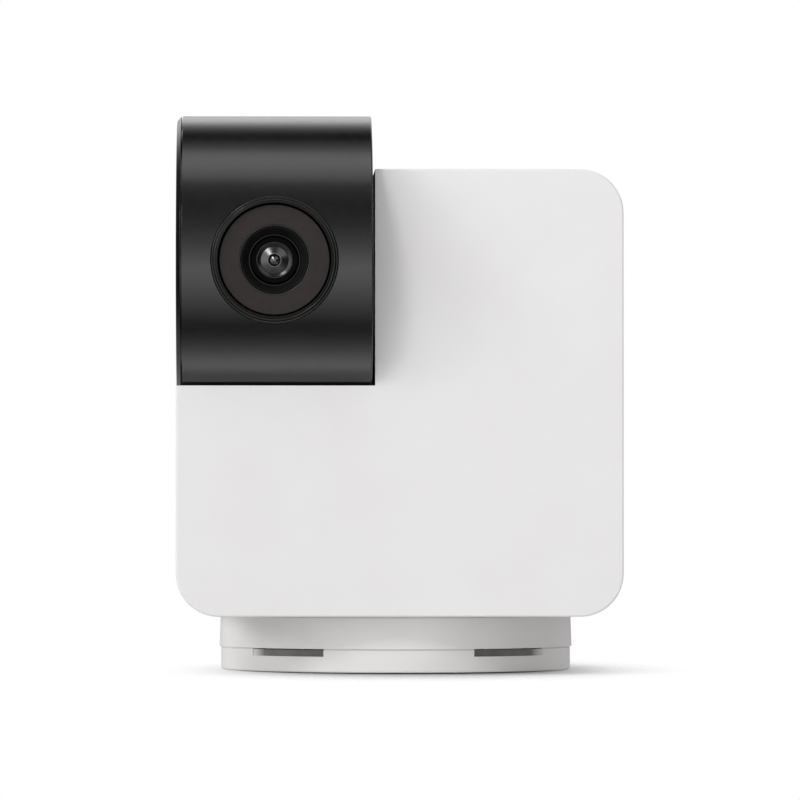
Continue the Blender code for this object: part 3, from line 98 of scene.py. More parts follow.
def roundedBox(name, low, high, corner=0, steps=12, frontEdge=0, backEdge=0, rimSteps=5):
    # A box with its corners rounded round the Y axis, and fillets round its front and back
    deselectAll()
    middle = metres([(a + b) / 2 for a, b in zip(low, high)])
    size = metres([b - a for a, b in zip(low, high)])
    bpy.ops.mesh.primitive_cube_add(size=1, location=middle, scale=size)
    obj = nameAs(bpy.context.object, name)
    settlePlace(obj)
    bpy.ops.object.mode_set(mode="EDIT")
    bpy.ops.mesh.select_mode(type="EDGE")
    if corner:
        edgesWhere(lambda a, b: abs(a.y - b.y) > nearly)
        bpy.ops.mesh.bevel(offset=corner * mm, segments=steps, profile=0.5, affect="EDGES")
    for place, fillet in ((low[1] * mm, frontEdge), (high[1] * mm, backEdge)):
        if fillet:
            edgesWhere(lambda a, b: abs(a.y - place) < nearly and abs(b.y - place) < nearly)
            bpy.ops.mesh.bevel(offset=fillet * mm, segments=rimSteps, profile=0.5, affect="EDGES")
    bpy.ops.object.mode_set(mode="OBJECT")
    return obj


def roundProfile(corners):
    # Corners are (radius, height) or (radius, height, fillet); each fillet becomes an arc
    points = []
    count = len(corners)
    for i, corner in enumerate(corners):
        here = Vector(corner[:2])
        if len(corner) < 3:
            points.append(here)
            continue
        fillet = corner[2]
        back = (Vector(corners[i - 1][:2]) - here).normalized()
        ahead = (Vector(corners[(i + 1) % count][:2]) - here).normalized()
        half = back.angle(ahead) / 2
        centre = here + (back + ahead).normalized() * (fillet / math.sin(half))
        reach = fillet / math.tan(half)
        start = here + back * reach - centre
        sweep = start.angle_signed(here + ahead * reach - centre)
        begin = math.atan2(start.y, start.x)
        for k in range(filletSteps + 1):
            angle = begin - sweep * k / filletSteps
            points.append(centre + fillet * Vector((math.cos(angle), math.sin(angle))))
    return points


def lathe(name, corners, place, turn, sides=96):
    # Draws the profile by extruding one vertex, and spins it round
    points = [point * mm for point in roundProfile(corners)]
    if min(point.x for point in points) > nearly:
        points.append(points[0])
    deselectAll()
    bpy.ops.mesh.primitive_plane_add(size=mm)
    obj = nameAs(bpy.context.object, name)
    bpy.ops.object.mode_set(mode="EDIT")
    bpy.ops.mesh.select_mode(type="VERT")
    bpy.ops.mesh.select_all(action="SELECT")
    bpy.ops.mesh.merge(type="CENTER")
    bpy.ops.transform.translate(value=(points[0].x, 0, points[0].y))
    for a, b in zip(points, points[1:]):
        bpy.ops.mesh.extrude_region_move(TRANSFORM_OT_translate={"value": (b.x - a.x, 0, b.y - a.y)})
    bpy.ops.mesh.select_all(action="SELECT")
    bpy.ops.mesh.spin(steps=sides, angle=2 * math.pi, center=(0, 0, 0), axis=(0, 0, 1))
    bpy.ops.mesh.select_all(action="SELECT")
    bpy.ops.mesh.remove_doubles(threshold=nearly)
    bpy.ops.mesh.dissolve_degenerate(threshold=sliver)
    bpy.ops.mesh.normals_make_consistent(inside=False)
    bpy.ops.object.mode_set(mode="OBJECT")
    obj.rotation_euler = [math.radians(angle) for angle in turn]
    obj.location = metres(place)
    settlePlace(obj)
    return obj


def drill(name, radius, place, turn, length, sides=64):
    # A cutter or post that starts at its place and runs along the turned Z axis
    return lathe(name, [(0, 0), (radius, 0), (radius, length), (0, length)], place, turn, sides)


def bakeModifiers(obj):
    pickOnly(obj)
    for modifier in list(obj.modifiers):
        bpy.ops.object.modifier_apply(modifier=modifier.name)


def combine(obj, others, operation):
    for other in others:
        modifier = obj.modifiers.new(other.name, "BOOLEAN")
        modifier.operation = operation
        modifier.solver = "EXACT"
        modifier.object = other
        bakeModifiers(obj)
        bpy.data.objects.remove(other, do_unlink=True)


def cutOut(obj, *cutters):
    combine(obj, cutters, "DIFFERENCE")


def joinOn(obj, *others):
    combine(obj, others, "UNION")


def softenEdges(obj, width, steps=2):
    # Breaks the edges that the cutters left sharp
    modifier = obj.modifiers.new("edges", "BEVEL")
    modifier.width = width * mm
    modifier.segments = steps
    modifier.limit_method = "ANGLE"
    modifier.angle_limit = sharpAngle
    bakeModifiers(obj)


def smoothOver(obj):
    # Smooth shading that leaves flat faces flat
    pickOnly(obj)
    bpy.ops.object.shade_smooth_by_angle(angle=sharpAngle)
    modifier = obj.modifiers.new("weights", "WEIGHTED_NORMAL")
    modifier.keep_sharp = True
    bakeModifiers(obj)


def copyTo(obj, name, x, y, z):
    # A copy with its own mesh, moved by the given millimetres
    pickOnly(obj)
    bpy.ops.object.duplicate()
    copy = nameAs(bpy.context.object, name)
    copy.location = obj.location + metres((x, y, z))
    settlePlace(copy)
    return copy


def drillEach(name, radius, places, turn, length, sides):
    # One post or cutter is made, and the others are copies of it
    first = drill(name, radius, places[0], turn, length, sides)
    moves = [[b - a for a, b in zip(places[0], place)] for place in places[1:]]
    return [first] + [copyTo(first, name, *move) for move in moves]


def finishPiece(obj, body, finish, nodes=()):
    smoothOver(obj)
    obj.data.materials.clear()
    obj.data.materials.append(finish)
    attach(obj, body)
    if nodes:
        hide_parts(*nodes)
    return obj


def linearColour(hexCode):
    # sRGB hex to the linear colour that the shader reads
    channels = [int(hexCode[i:i + 2], 16) / 255 for i in (1, 3, 5)]
    return (*[c / 12.92 if c <= 0.04045 else ((c + 0.055) / 1.055) ** 2.4 for c in channels], 1)


def perMetre(sizeMm):
    # A pattern's scale from the size of one of its features
    return 1 / (sizeMm * mm)


def addNode(tree, kind, settings=None, links=None):
    node = tree.nodes.new(kind)
    for key, value in (settings or {}).items():
        if isinstance(key, str) and hasattr(node, key):
            setattr(node, key, value)
        else:
            node.inputs[key].default_value = value
    for key, source in (links or {}).items():
        tree.links.new(source, node.inputs[key])
    return node


def twoColours(look):
    return {"data_type": "RGBA", 6: linearColour(look["dark"]), 7: linearColour(look["light"])}


def newMaterial(name):
    material = bpy.data.materials.new(name)
    material.use_nodes = True
    tree = material.node_tree
    shader = tree.nodes["Principled BSDF"]
    place = addNode(tree, "ShaderNodeTexCoord").outputs["Object"]
    return material, tree, shader, place


def wireShader(tree, shader, hue, gloss, bump):
    tree.links.new(hue.outputs[2], shader.inputs["Base Color"])
    tree.links.new(gloss.outputs["Result"], shader.inputs["Roughness"])
    tree.links.new(bump.outputs["Normal"], shader.inputs["Normal"])


# A look's "cloud", "patch", "grain", "streak" and "track" are the sizes of those features in millimetres
noiseSpan = {"From Min": 0.3, "From Max": 0.7}     # where most of a noise's values lie


def moulded(name, look):
    # Injection-moulded plastic: a faint cloudiness in the colour, a spark-eroded grain, and uneven gloss
    material, tree, shader, place = newMaterial(name)
    cloud = addNode(tree, "ShaderNodeTexNoise", {"Scale": perMetre(look["cloud"]), "Detail": 3.0},
                    {"Vector": place})
    share = addNode(tree, "ShaderNodeMapRange", noiseSpan, {"Value": cloud.outputs["Fac"]})
    hue = addNode(tree, "ShaderNodeMix", twoColours(look), {0: share.outputs["Result"]})
    patch = addNode(tree, "ShaderNodeTexNoise", {"Scale": perMetre(look["patch"]), "Detail": 4.0},
                    {"Vector": place})
    gloss = addNode(tree, "ShaderNodeMapRange",
                    {**noiseSpan, "To Min": look["rough"][0], "To Max": look["rough"][1]},
                    {"Value": patch.outputs["Fac"]})
    grain = addNode(tree, "ShaderNodeTexNoise", {"Scale": perMetre(look["grain"]), "Detail": 2.0},
                    {"Vector": place})
    bump = addNode(tree, "ShaderNodeBump", {"Strength": look["relief"], "Distance": look["depth"] * mm},
                   {"Height": grain.outputs["Fac"]})
    wireShader(tree, shader, hue, gloss, bump)
    shader.inputs["IOR"].default_value = look.get("ior", 1.5)
    if "coat" in look:
        shader.inputs["Coat Weight"].default_value = 1.0
        shader.inputs["Coat IOR"].default_value, shader.inputs["Coat Roughness"].default_value = look["coat"]
    return material


def paintedShadeFinish(name, look):
    # Painted shade for the vents: the grey stands for the shade deep in each slot and pales towards the
    # shell's white as X grows on either side
    material = moulded(name, look)
    tree = material.node_tree
    shader = tree.nodes["Principled BSDF"]
    place = addNode(tree, "ShaderNodeTexCoord").outputs["Object"]
    parts = addNode(tree, "ShaderNodeSeparateXYZ", {}, {0: place})
    aside = addNode(tree, "ShaderNodeMath", {"operation": "ABSOLUTE"}, {0: parts.outputs["X"]})
    share = addNode(tree, "ShaderNodeMapRange",
                    {"From Min": look["darkTo"] * mm, "From Max": look["paleFrom"] * mm},
                    {"Value": aside.outputs[0]})
    hue = addNode(tree, "ShaderNodeMix", {"data_type": "RGBA", 7: linearColour(look["pale"])},
                  {0: share.outputs["Result"], 6: shader.inputs["Base Color"].links[0].from_socket})
    tree.links.new(hue.outputs[2], shader.inputs["Base Color"])
    return material


def metalFinish(name, look):
    # Metal: plating or turning marks give the gloss its streaks
    material, tree, shader, place = newMaterial(name)
    drawn = addNode(tree, "ShaderNodeMapping", {"Scale": look.get("stretch", (1, 1, 1))}, {"Vector": place})
    streak = addNode(tree, "ShaderNodeTexNoise", {"Scale": perMetre(look["streak"]), "Detail": 5.0},
                     {"Vector": drawn.outputs["Vector"]})
    share = addNode(tree, "ShaderNodeMapRange", noiseSpan, {"Value": streak.outputs["Fac"]})
    hue = addNode(tree, "ShaderNodeMix", twoColours(look), {0: share.outputs["Result"]})
    gloss = addNode(tree, "ShaderNodeMapRange", {"To Min": look["rough"][0], "To Max": look["rough"][1]},
                    {"Value": share.outputs["Result"]})
    bump = addNode(tree, "ShaderNodeBump", {"Strength": look["relief"], "Distance": look["depth"] * mm},
                   {"Height": streak.outputs["Fac"]})
    wireShader(tree, shader, hue, gloss, bump)
    shader.inputs["Metallic"].default_value = 1.0
    return material


def circuitBoard(name, look):
    # Solder mask over copper: the tracks show as slightly raised, lighter lines
    material, tree, shader, place = newMaterial(name)
    tracks = addNode(tree, "ShaderNodeTexBrick",
                     {"Scale": perMetre(look["track"]), "Mortar Size": look["width"], "Color1": (0, 0, 0, 1),
                      "Color2": (0, 0, 0, 1), "Mortar": (1, 1, 1, 1)}, {"Vector": place})
    hue = addNode(tree, "ShaderNodeMix", twoColours(look), {0: tracks.outputs["Color"]})
    patch = addNode(tree, "ShaderNodeTexNoise", {"Scale": perMetre(look["patch"]), "Detail": 3.0},
                    {"Vector": place})
    gloss = addNode(tree, "ShaderNodeMapRange",
                    {**noiseSpan, "To Min": look["rough"][0], "To Max": look["rough"][1]},
                    {"Value": patch.outputs["Fac"]})
    bump = addNode(tree, "ShaderNodeBump", {"Strength": look["relief"], "Distance": look["depth"] * mm},
                   {"Height": tracks.outputs["Color"]})
    wireShader(tree, shader, hue, gloss, bump)
    return material


# White ABS, moulded in a fine spark-eroded tool: bright, barely warm, a soft sheen and no mirror
whiteAbs = moulded("whiteAbs", {
    "dark": "#E6E4E5", "light": "#E9E8E8", "cloud": 14, "patch": 2.2, "rough": (0.42, 0.50), "grain": 0.16,
    "relief": 0.12, "depth": 0.006})
# The base's white ABS comes from a smoother tool, so its curved side shows a clearer sheen
whiteAbsBase = moulded("whiteAbsBase", {
    "dark": "#E6E4E3", "light": "#EBE9E8", "cloud": 11, "patch": 1.8, "rough": (0.34, 0.42), "grain": 0.16,
    "relief": 0.08, "depth": 0.005})
# Black ABS from a polished tool: deep black under wide soft-edged reflections
blackAbs = moulded("blackAbs", {
    "dark": "#0B0B0C", "light": "#101011", "cloud": 9, "patch": 1.5, "rough": (0.19, 0.23), "grain": 0.20,
    "relief": 0.03, "depth": 0.004})
# Black polycarbonate trim, polished: thin bright lines along its rounded edges
blackTrim = moulded("blackTrim", {
    "dark": "#0A0A0B", "light": "#0E0E0F", "cloud": 6, "patch": 1.0, "rough": (0.11, 0.15), "grain": 0.18,
    "relief": 0.02, "depth": 0.002, "ior": 1.38})
# Infrared-passing acrylic with a matt front: a dull brown-grey that hides the lamps behind
smokedAcrylic = moulded("smokedAcrylic", {
    "dark": "#1F1A18", "light": "#231D1B", "cloud": 4, "patch": 0.8, "rough": (0.55, 0.65), "grain": 0.10,
    "relief": 0.20, "depth": 0.006, "ior": 1.38})
# The same polycarbonate, spark-eroded matt between its polished edges: an even near-black
mattTrim = moulded("mattTrim", {
    "dark": "#101010", "light": "#161617", "cloud": 4, "patch": 0.9, "rough": (0.45, 0.55), "grain": 0.14,
    "relief": 0.1, "depth": 0.004, "ior": 1.25})
# Glass-filled nylon, blacked: no gloss inside the lens hood
blackNylon = moulded("blackNylon", {
    "dark": "#131313", "light": "#181818", "cloud": 3, "patch": 0.7, "rough": (0.50, 0.62), "grain": 0.12,
    "relief": 0.25, "depth": 0.006, "ior": 1.16})
# Hard-coated black ring round the lens, turned: a soft grey gleam on its cone
blackAnodised = moulded("blackAnodised", {
    "dark": "#0A0A0B", "light": "#0F0F10", "cloud": 2, "patch": 0.5, "rough": (0.20, 0.24), "grain": 0.08,
    "relief": 0.02, "depth": 0.001, "ior": 1.55})
# Painted shade in the vents: a dull grey, darker towards the middle of the base
paintedVentShade = paintedShadeFinish("paintedVentShade", {
    "dark": "#6E6E6E", "light": "#7C7C7B", "cloud": 2, "patch": 0.4, "rough": (0.75, 0.85), "grain": 0.30,
    "relief": 0.3, "depth": 0.02, "pale": "#F4F3F2", "darkTo": 23.5, "paleFrom": 26.0})
# Silicone rubber foot: dark grey and dull, with a dusty bloom
siliconeRubber = moulded("siliconeRubber", {
    "dark": "#3A3A3B", "light": "#464647", "cloud": 5, "patch": 1.2, "rough": (0.75, 0.88), "grain": 0.15,
    "relief": 0.4, "depth": 0.01})
# Natural acetal gears: milky cream with a waxy gloss
acetal = moulded("acetal", {
    "dark": "#DAD6C8", "light": "#E6E2D5", "cloud": 5, "patch": 1.2, "rough": (0.33, 0.44), "grain": 0.14,
    "relief": 0.1, "depth": 0.004})
# Graphite-filled nylon bearings and brackets: slate grey, satin
filledNylon = moulded("filledNylon", {
    "dark": "#4A4B4E", "light": "#55565A", "cloud": 4, "patch": 1.0, "rough": (0.36, 0.48), "grain": 0.12,
    "relief": 0.2, "depth": 0.006})
# Epoxy chip bodies: charcoal with a fine matt moulding skin
epoxyChip = moulded("epoxyChip", {
    "dark": "#242426", "light": "#2C2C2F", "cloud": 2, "patch": 0.5, "rough": (0.48, 0.60), "grain": 0.09,
    "relief": 0.25, "depth": 0.005})
# Coated paper cone: soft black fibre
coatedPaper = moulded("coatedPaper", {
    "dark": "#17171A", "light": "#202023", "cloud": 1.5, "patch": 0.6, "rough": (0.65, 0.80), "grain": 0.22,
    "relief": 0.5, "depth": 0.02})
# Clear epoxy of an infrared lamp: dim pink-violet, glossy
lampResin = moulded("lampResin", {
    "dark": "#5C3A44", "light": "#6C4652", "cloud": 1.2, "patch": 0.4, "rough": (0.10, 0.16), "grain": 0.2,
    "relief": 0.03, "depth": 0.002})
# Drawn steel motor cans: brushed grey
drawnSteel = metalFinish("drawnSteel", {
    "dark": "#9A9B9D", "light": "#B4B5B7", "streak": 0.5, "stretch": (1, 1, 6), "rough": (0.24, 0.36),
    "relief": 0.1, "depth": 0.003})
# Zinc-plated steel screws: bluish bright grey
zincPlate = metalFinish("zincPlate", {
    "dark": "#A9ADB3", "light": "#C2C6CC", "streak": 0.35, "rough": (0.22, 0.34), "relief": 0.1,
    "depth": 0.002})
# Nickel-plated socket shell: warm mirror grey with fine rolling marks
nickelPlate = metalFinish("nickelPlate", {
    "dark": "#B5B2AC", "light": "#CBC8C2", "streak": 0.25, "stretch": (1, 1, 8), "rough": (0.16, 0.26),
    "relief": 0.08, "depth": 0.002})
# Gold flash on the socket's contacts: yellow and bright
goldFlash = metalFinish("goldFlash", {
    "dark": "#D2A24A", "light": "#E3BC66", "streak": 0.2, "rough": (0.18, 0.28), "relief": 0.05,
    "depth": 0.001})
# Flocked black paint on the lens barrel's face: it gives back almost nothing
flockBlack = moulded("flockBlack", {
    "dark": "#060606", "light": "#090909", "cloud": 2, "patch": 0.5, "rough": (0.85, 0.95), "grain": 0.08,
    "relief": 0.3, "depth": 0.004, "ior": 1.15})
# Dense glass blacked from behind, coated: a bright patch of lamp with a soft edge on near-black
blackedGlass = moulded("blackedGlass", {
    "dark": "#0A0A0B", "light": "#0D0D0E", "cloud": 2, "patch": 0.5, "rough": (0.26, 0.30), "grain": 0.08,
    "relief": 0.02, "depth": 0.001, "ior": 1.2, "coat": (1.8, 0.22)})
# Second lens element, dense coated glass over black: a small bright highlight in the pupil
coatedGlass = moulded("coatedGlass", {
    "dark": "#050608", "light": "#07080B", "cloud": 1, "patch": 0.4, "rough": (0.14, 0.18), "grain": 0.08,
    "relief": 0.01, "depth": 0.001, "ior": 1.9})
# Circuit boards: green mask, with lighter lines where the copper runs under it
greenBoard = circuitBoard("greenBoard", {
    "dark": "#0F4A27", "light": "#1B6A3B", "track": 3.0, "width": 0.06, "patch": 1.0, "rough": (0.30, 0.42),
    "relief": 0.4, "depth": 0.03})
print("materials made")


padShape = {"radius": 29.0, "thick": 0.8, "edge": 0.2}
lowerShape = {"radius": 31.3, "rim": 0.2, "seam": 4.1, "seamEdge": 0.06, "wall": 1.6, "floorLow": 1.1,
              "floorTop": 2.3, "recess": 29.3, "edge": 0.3, "lip": 0.1, "lipHigh": 0.18}
upperShape = {"top": 9.8, "low": 4.3, "lowEdge": 0.06, "topRadius": 31.4, "skirtRadius": 31.6, "inner": 29.7,
              "deckLow": 8.0, "edge": 0.08, "lipRadius": 31.2, "lipInner": 29.2, "lipTop": 10.0,
              "glide": (22.0, 26.0, 0.7), "post": 8.0, "bore": 5.0, "postTop": 19.0}
slotShape = {"span": 30, "low": 2.95, "high": 5.1, "inside": 27.2, "outside": 33}
ventShadeStrip = {"radius": 30.6, "thick": 0.5, "half": 8.35, "low": 2.9, "high": 4.15, "lean": 3.4, "cuts": 15}
# Where the vents face, in degrees round the base, and the side to which each shade strip leans
ventFacings = ((50, 1), (130, -1), (-50, -1), (-130, 1))
inletShape = {"width": 9.54, "low": 3.4, "high": 7.2, "corner": 1.6, "from": 22.4, "to": 33}
baseScrewPlaces = [polar(22.8, angle) for angle in (-90, 30, 150)]
# What each base screw passes through: a radius, the lowest height and the length
baseScrewShape = {"boss": (3.4, 1.7, 2.0), "seat": (2.4, 0.1, 2.6), "hole": (1.3, 1, 4),
                  "post": (2.6, 4.0, 4.3), "pilot": (1.3, 3.0, 5.0)}


def inletCutter(name):
    s = inletShape
    half = s["width"] / 2
    return roundedBox(name, (-half, s["from"], s["low"]), (half, s["to"], s["high"]), s["corner"], 8)


def slotCutters():
    # Each vent is a straight-ended notch in the shell's upper rim
    s = slotShape
    half = lowerShape["radius"] * math.sin(math.radians(s["span"]) / 2)
    first = roundedBox("ventCut", (s["inside"], -half, s["low"]), (s["outside"], half, s["high"]))
    cutters = [first] + [copyTo(first, "ventCut", 0, 0, 0) for _ in ventFacings[1:]]
    for cutter, (facing, _) in zip(cutters, ventFacings):
        cutter.rotation_euler = (0, 0, math.radians(facing))
        settlePlace(cutter)
    return cutters


def screwDrills(part, sides):
    radius, low, length = baseScrewShape[part]
    return drillEach(part, radius, [(x, y, low) for x, y in baseScrewPlaces], upright, length, sides)


def makeVentShadeStrips():
    # A dark strip stands just behind each vent as painted shade in the slot; one is modelled and the others
    # are copies
    s = ventShadeStrip
    first = roundedBox("ventShadeStrip1", (-s["half"], -s["thick"], s["low"]), (s["half"], 0, s["high"]))
    pickOnly(first)
    bpy.ops.object.mode_set(mode="EDIT")
    bpy.ops.mesh.select_mode(type="EDGE")
    edgesWhere(lambda a, b: abs(a.x - b.x) > nearly)
    bpy.ops.mesh.subdivide(number_cuts=s["cuts"])
    bpy.ops.object.mode_set(mode="OBJECT")
    # The flat strip is bent to the shell's curve
    curve = first.modifiers.new("curve", "SIMPLE_DEFORM")
    curve.deform_method = "BEND"
    curve.deform_axis = "Z"
    curve.angle = -2 * s["half"] / s["radius"]
    bakeModifiers(first)
    strips = [first] + [copyTo(first, f"ventShadeStrip{number}", 0, 0, 0) for number in (2, 3, 4)]
    # Each leans so that it runs deeper towards the middle of the front or the back
    for strip, (facing, hand) in zip(strips, ventFacings):
        strip.location = metres((*polar(s["radius"], facing), 0))
        strip.rotation_euler = (0, 0, math.radians(facing - 90 + hand * s["lean"]))
        settlePlace(strip)
        finishPiece(strip, "base", paintedVentShade)


def makePad():
    s = padShape
    radius, thick = s["radius"], s["thick"]
    pad = lathe("rubberPad", [(0, 0), (radius, 0, s["edge"]), (radius, thick), (0, thick)],
                (0, 0, 0), upright, 128)
    finishPiece(pad, "base", siliconeRubber, ["rubber_pad"])


def makeLowerShell():
    s = lowerShape
    radius, seam = s["radius"], s["seam"]
    lip = radius - s["lip"]
    inside = radius - s["wall"]
    lower = lathe("baseLowerShell",
                  [(0, s["floorLow"]), (s["recess"], s["floorLow"]), (s["recess"], s["rim"]),
                   (radius, s["rim"], s["edge"]), (radius, seam, s["seamEdge"]), (lip, seam),
                   (lip, seam + s["lipHigh"]), (inside, seam + s["lipHigh"]), (inside, s["floorTop"]),
                   (0, s["floorTop"])],
                  (0, 0, 0), upright, 160)
    cutOut(lower, inletCutter("lowerInlet"), *slotCutters())
    joinOn(lower, *screwDrills("boss", 32))
    cutOut(lower, *screwDrills("seat", 32), *screwDrills("hole", 24))
    softenEdges(lower, 0.08)
    finishPiece(lower, "base", whiteAbsBase, ["base_lower_shell"])


def makeUpperShell():
    s = upperShape
    top = s["top"]
    inner, outer, depth = s["glide"]
    upper = lathe("baseUpperShell",
                  [(s["bore"], s["postTop"]), (s["post"], s["postTop"]), (s["post"], top), (inner, top),
                   (inner, top - depth), (outer, top - depth), (outer, top), (s["lipInner"], top),
                   (s["lipInner"], s["lipTop"]), (s["lipRadius"], s["lipTop"]), (s["lipRadius"], top),
                   (s["topRadius"], top, s["edge"]), (s["skirtRadius"], s["low"], s["lowEdge"]),
                   (s["inner"], s["low"]), (s["inner"], s["deckLow"]), (s["bore"], s["deckLow"])],
                  (0, 0, 0), upright, 160)
    cutOut(upper, inletCutter("upperInlet"))
    joinOn(upper, *screwDrills("post", 32))
    cutOut(upper, *screwDrills("pilot", 24))
    softenEdges(upper, 0.08)
    finishPiece(upper, "base", whiteAbsBase, ["base_upper_shell"])


makePad()
makeLowerShell()
makeUpperShell()
makeVentShadeStrips()
print("base made")


socketShape = {"low": (-4.47, 23.3, 3.7), "high": (4.47, 30.6, 6.9), "corner": 1.3, "wall": 0.3,
               "tongue": (3.35, 0.35, 29.4)}
contactShape = {"count": 12, "pitch": 0.5, "width": 0.26, "from": 26.4, "short": 0.25, "proud": 0.02}


def makeSocket():
    s = socketShape
    wall = s["wall"]
    low, high = s["low"], s["high"]
    middle = (low[2] + high[2]) / 2
    shell = roundedBox("socketShell", low, high, s["corner"], 10)
    well = roundedBox("socketWell", (low[0] + wall, low[1] + 2 * wall, low[2] + wall),
                      (high[0] - wall, high[1] + 1, high[2] - wall), s["corner"] - wall, 10)
    cutOut(shell, well)
    softenEdges(shell, 0.06)
    finishPiece(shell, "base", nickelPlate, ["usb_c_socket"])
    half, thick, front = s["tongue"]
    tongue = roundedBox("socketTongue", (-half, low[1] + wall, middle - thick), (half, front, middle + thick),
                        0.12, 3, backEdge=0.1, rimSteps=2)
    finishPiece(tongue, "base", epoxyChip)
    # One contact is modelled, and the row is repeated from it
    c = contactShape
    half = c["width"] / 2
    reach = thick + c["proud"]
    contacts = roundedBox("socketContacts", (-half, c["from"], middle - reach),
                          (half, front - c["short"], middle + reach), 0.02, 1)
    deselectAll()
    row = contacts.modifiers.new("row", "ARRAY")
    row.count = c["count"]
    row.use_relative_offset = False
    row.use_constant_offset = True
    row.constant_offset_displace = (c["pitch"] * mm, 0, 0)
    bakeModifiers(contacts)
    contacts.location.x = -(c["count"] - 1) / 2 * c["pitch"] * mm
    settlePlace(contacts)
    finishPiece(contacts, "base", goldFlash)


makeSocket()
print("power inlet made")


bodyShape = {"left": -39.0, "right": 39.0, "front": -37.0, "back": 37.0, "low": 10.1, "high": 88.1,
             "corner": 7.6, "rim": 0.6, "frontRim": 0.35, "wall": 2.0, "shellBack": 34.8, "plateFront": 35.0,
             "skirtFront": 32.0, "skirtInset": 2.3, "skirtWall": 1.2}
tiltAxis = (-21.4, 71.9)     # its Y and Z
cradleShape = {"radius": 26.6, "right": -4.3, "bush": 5.3}
panBushHole = 9.6
rearScrews = [(x, z) for x in (-33.66, 33.66) for z in (15.44, 82.76)]
rearScrewShape = {"head": 2.1, "headThick": 1.0, "shank": 1.0, "length": 9.0, "slot": 0.42, "reach": 1.25,
                  "slotDeep": 0.55}
boardScrews = [(-22.5, 77.5), (22.5, 40.5)]
# Posts and holes for the screws at the back: a radius, the Y that each starts from, its length and its way
rearDrills = {"screwBoss": (3.0, 31.7, 12, facingFront), "screwPilot": (1.3, 32.7, 9, facingFront),
              "boardPost": (2.2, 36.0, 8.1, facingFront), "boardPilot": (1.3, 27.6, 5, facingBack),
              "screwHole": (1.3, 31.0, 7, facingBack), "screwSeat": (2.4, 35.7, 3, facingBack)}
grilleShape = {"x": 0, "z": 26.5, "count": 5, "pitch": 3.0, "width": 14.0, "height": 1.4, "from": 34,
               "to": 38}
buttonShape = {"x": 15.0, "z": 46.5, "radius": 2.0, "hole": 2.3, "holeFrom": 34, "face": 36.7, "flange": 3.0}
speakerRim = 34.7            # its Y, behind the slots


def cradleRod(name, radius, right):
    left = bodyShape["left"] - 1
    return drill(name, radius, (left, *tiltAxis), facingRight, right - left, 192)


def drillRear(part, places, sides):
    radius, y, length, turn = rearDrills[part]
    return drillEach(part, radius, [(x, y, z) for x, z in places], turn, length, sides)


def makeHousing():
    s = bodyShape
    wall = s["wall"]
    cradle = cradleShape
    shell = roundedBox("housingShell", (s["left"], s["front"], s["low"]),
                       (s["right"], s["shellBack"], s["high"]), s["corner"], 20, frontEdge=s["frontRim"],
                       rimSteps=6)
    hollow = roundedBox("housingHollow", (s["left"] + wall, s["front"] + wall, s["low"] + wall),
                        (s["right"] - wall, s["shellBack"] + 1, s["high"] - wall), s["corner"] - wall, 16)
    cutOut(hollow, cradleRod("cradleBacking", cradle["radius"] + wall, cradle["right"] + wall))
    cutOut(shell, hollow)
    joinOn(shell, *drillRear("screwBoss", rearScrews, 32))
    cutOut(shell, *drillRear("screwPilot", rearScrews, 24),
           cradleRod("cradleCut", cradle["radius"], cradle["right"]),
           drill("tiltBushHole", cradle["bush"], (cradle["right"] - 1, *tiltAxis), facingRight, 4, 48),
           drill("panBushHole", panBushHole, (0, 0, s["low"] - 1), upright, 4, 64))
    softenEdges(shell, 0.12, 3)
    finishPiece(shell, "housing", whiteAbs, ["front_shell"])


def makeRearCover():
    s = bodyShape
    cover = roundedBox("rearCover", (s["left"], s["plateFront"], s["low"]),
                       (s["right"], s["back"], s["high"]), s["corner"], 20, backEdge=s["rim"], rimSteps=6)
    inset = s["skirtInset"]
    skirt = roundedBox("coverSkirt", (s["left"] + inset, s["skirtFront"], s["low"] + inset),
                       (s["right"] - inset, s["back"] - 1, s["high"] - inset), s["corner"] - inset, 16)
    inner = inset + s["skirtWall"]
    hollow = roundedBox("coverHollow", (s["left"] + inner, s["skirtFront"] - 1, s["low"] + inner),
                        (s["right"] - inner, s["plateFront"], s["high"] - inner), s["corner"] - inner, 16)
    joinOn(cover, skirt)
    cutOut(cover, hollow)
    joinOn(cover, *drillRear("boardPost", boardScrews, 32))
    cutOut(cover, *drillRear("boardPilot", boardScrews, 24), *drillRear("screwHole", rearScrews, 32),
           *drillRear("screwSeat", rearScrews, 48))
    b = buttonShape
    cutOut(cover, drill("buttonHole", b["hole"], (b["x"], b["holeFrom"], b["z"]), facingBack, 4, 48))
    # One slot of the speaker's grille is cut by a rounded bar, and copies of the bar cut the others
    g = grilleShape
    low = g["z"] - (g["count"] - 1) / 2 * g["pitch"]
    wide, tall = g["width"] / 2, g["height"] / 2
    bar = roundedBox("grilleSlot", (g["x"] - wide, g["from"], low - tall),
                     (g["x"] + wide, g["to"], low + tall), tall - 0.01, 8)
    bars = [copyTo(bar, "grilleSlot", 0, 0, index * g["pitch"]) for index in range(1, g["count"])]
    cutOut(cover, bar, *bars)
    softenEdges(cover, 0.1, 3)
    finishPiece(cover, "housing", whiteAbs, ["rear_cover"])


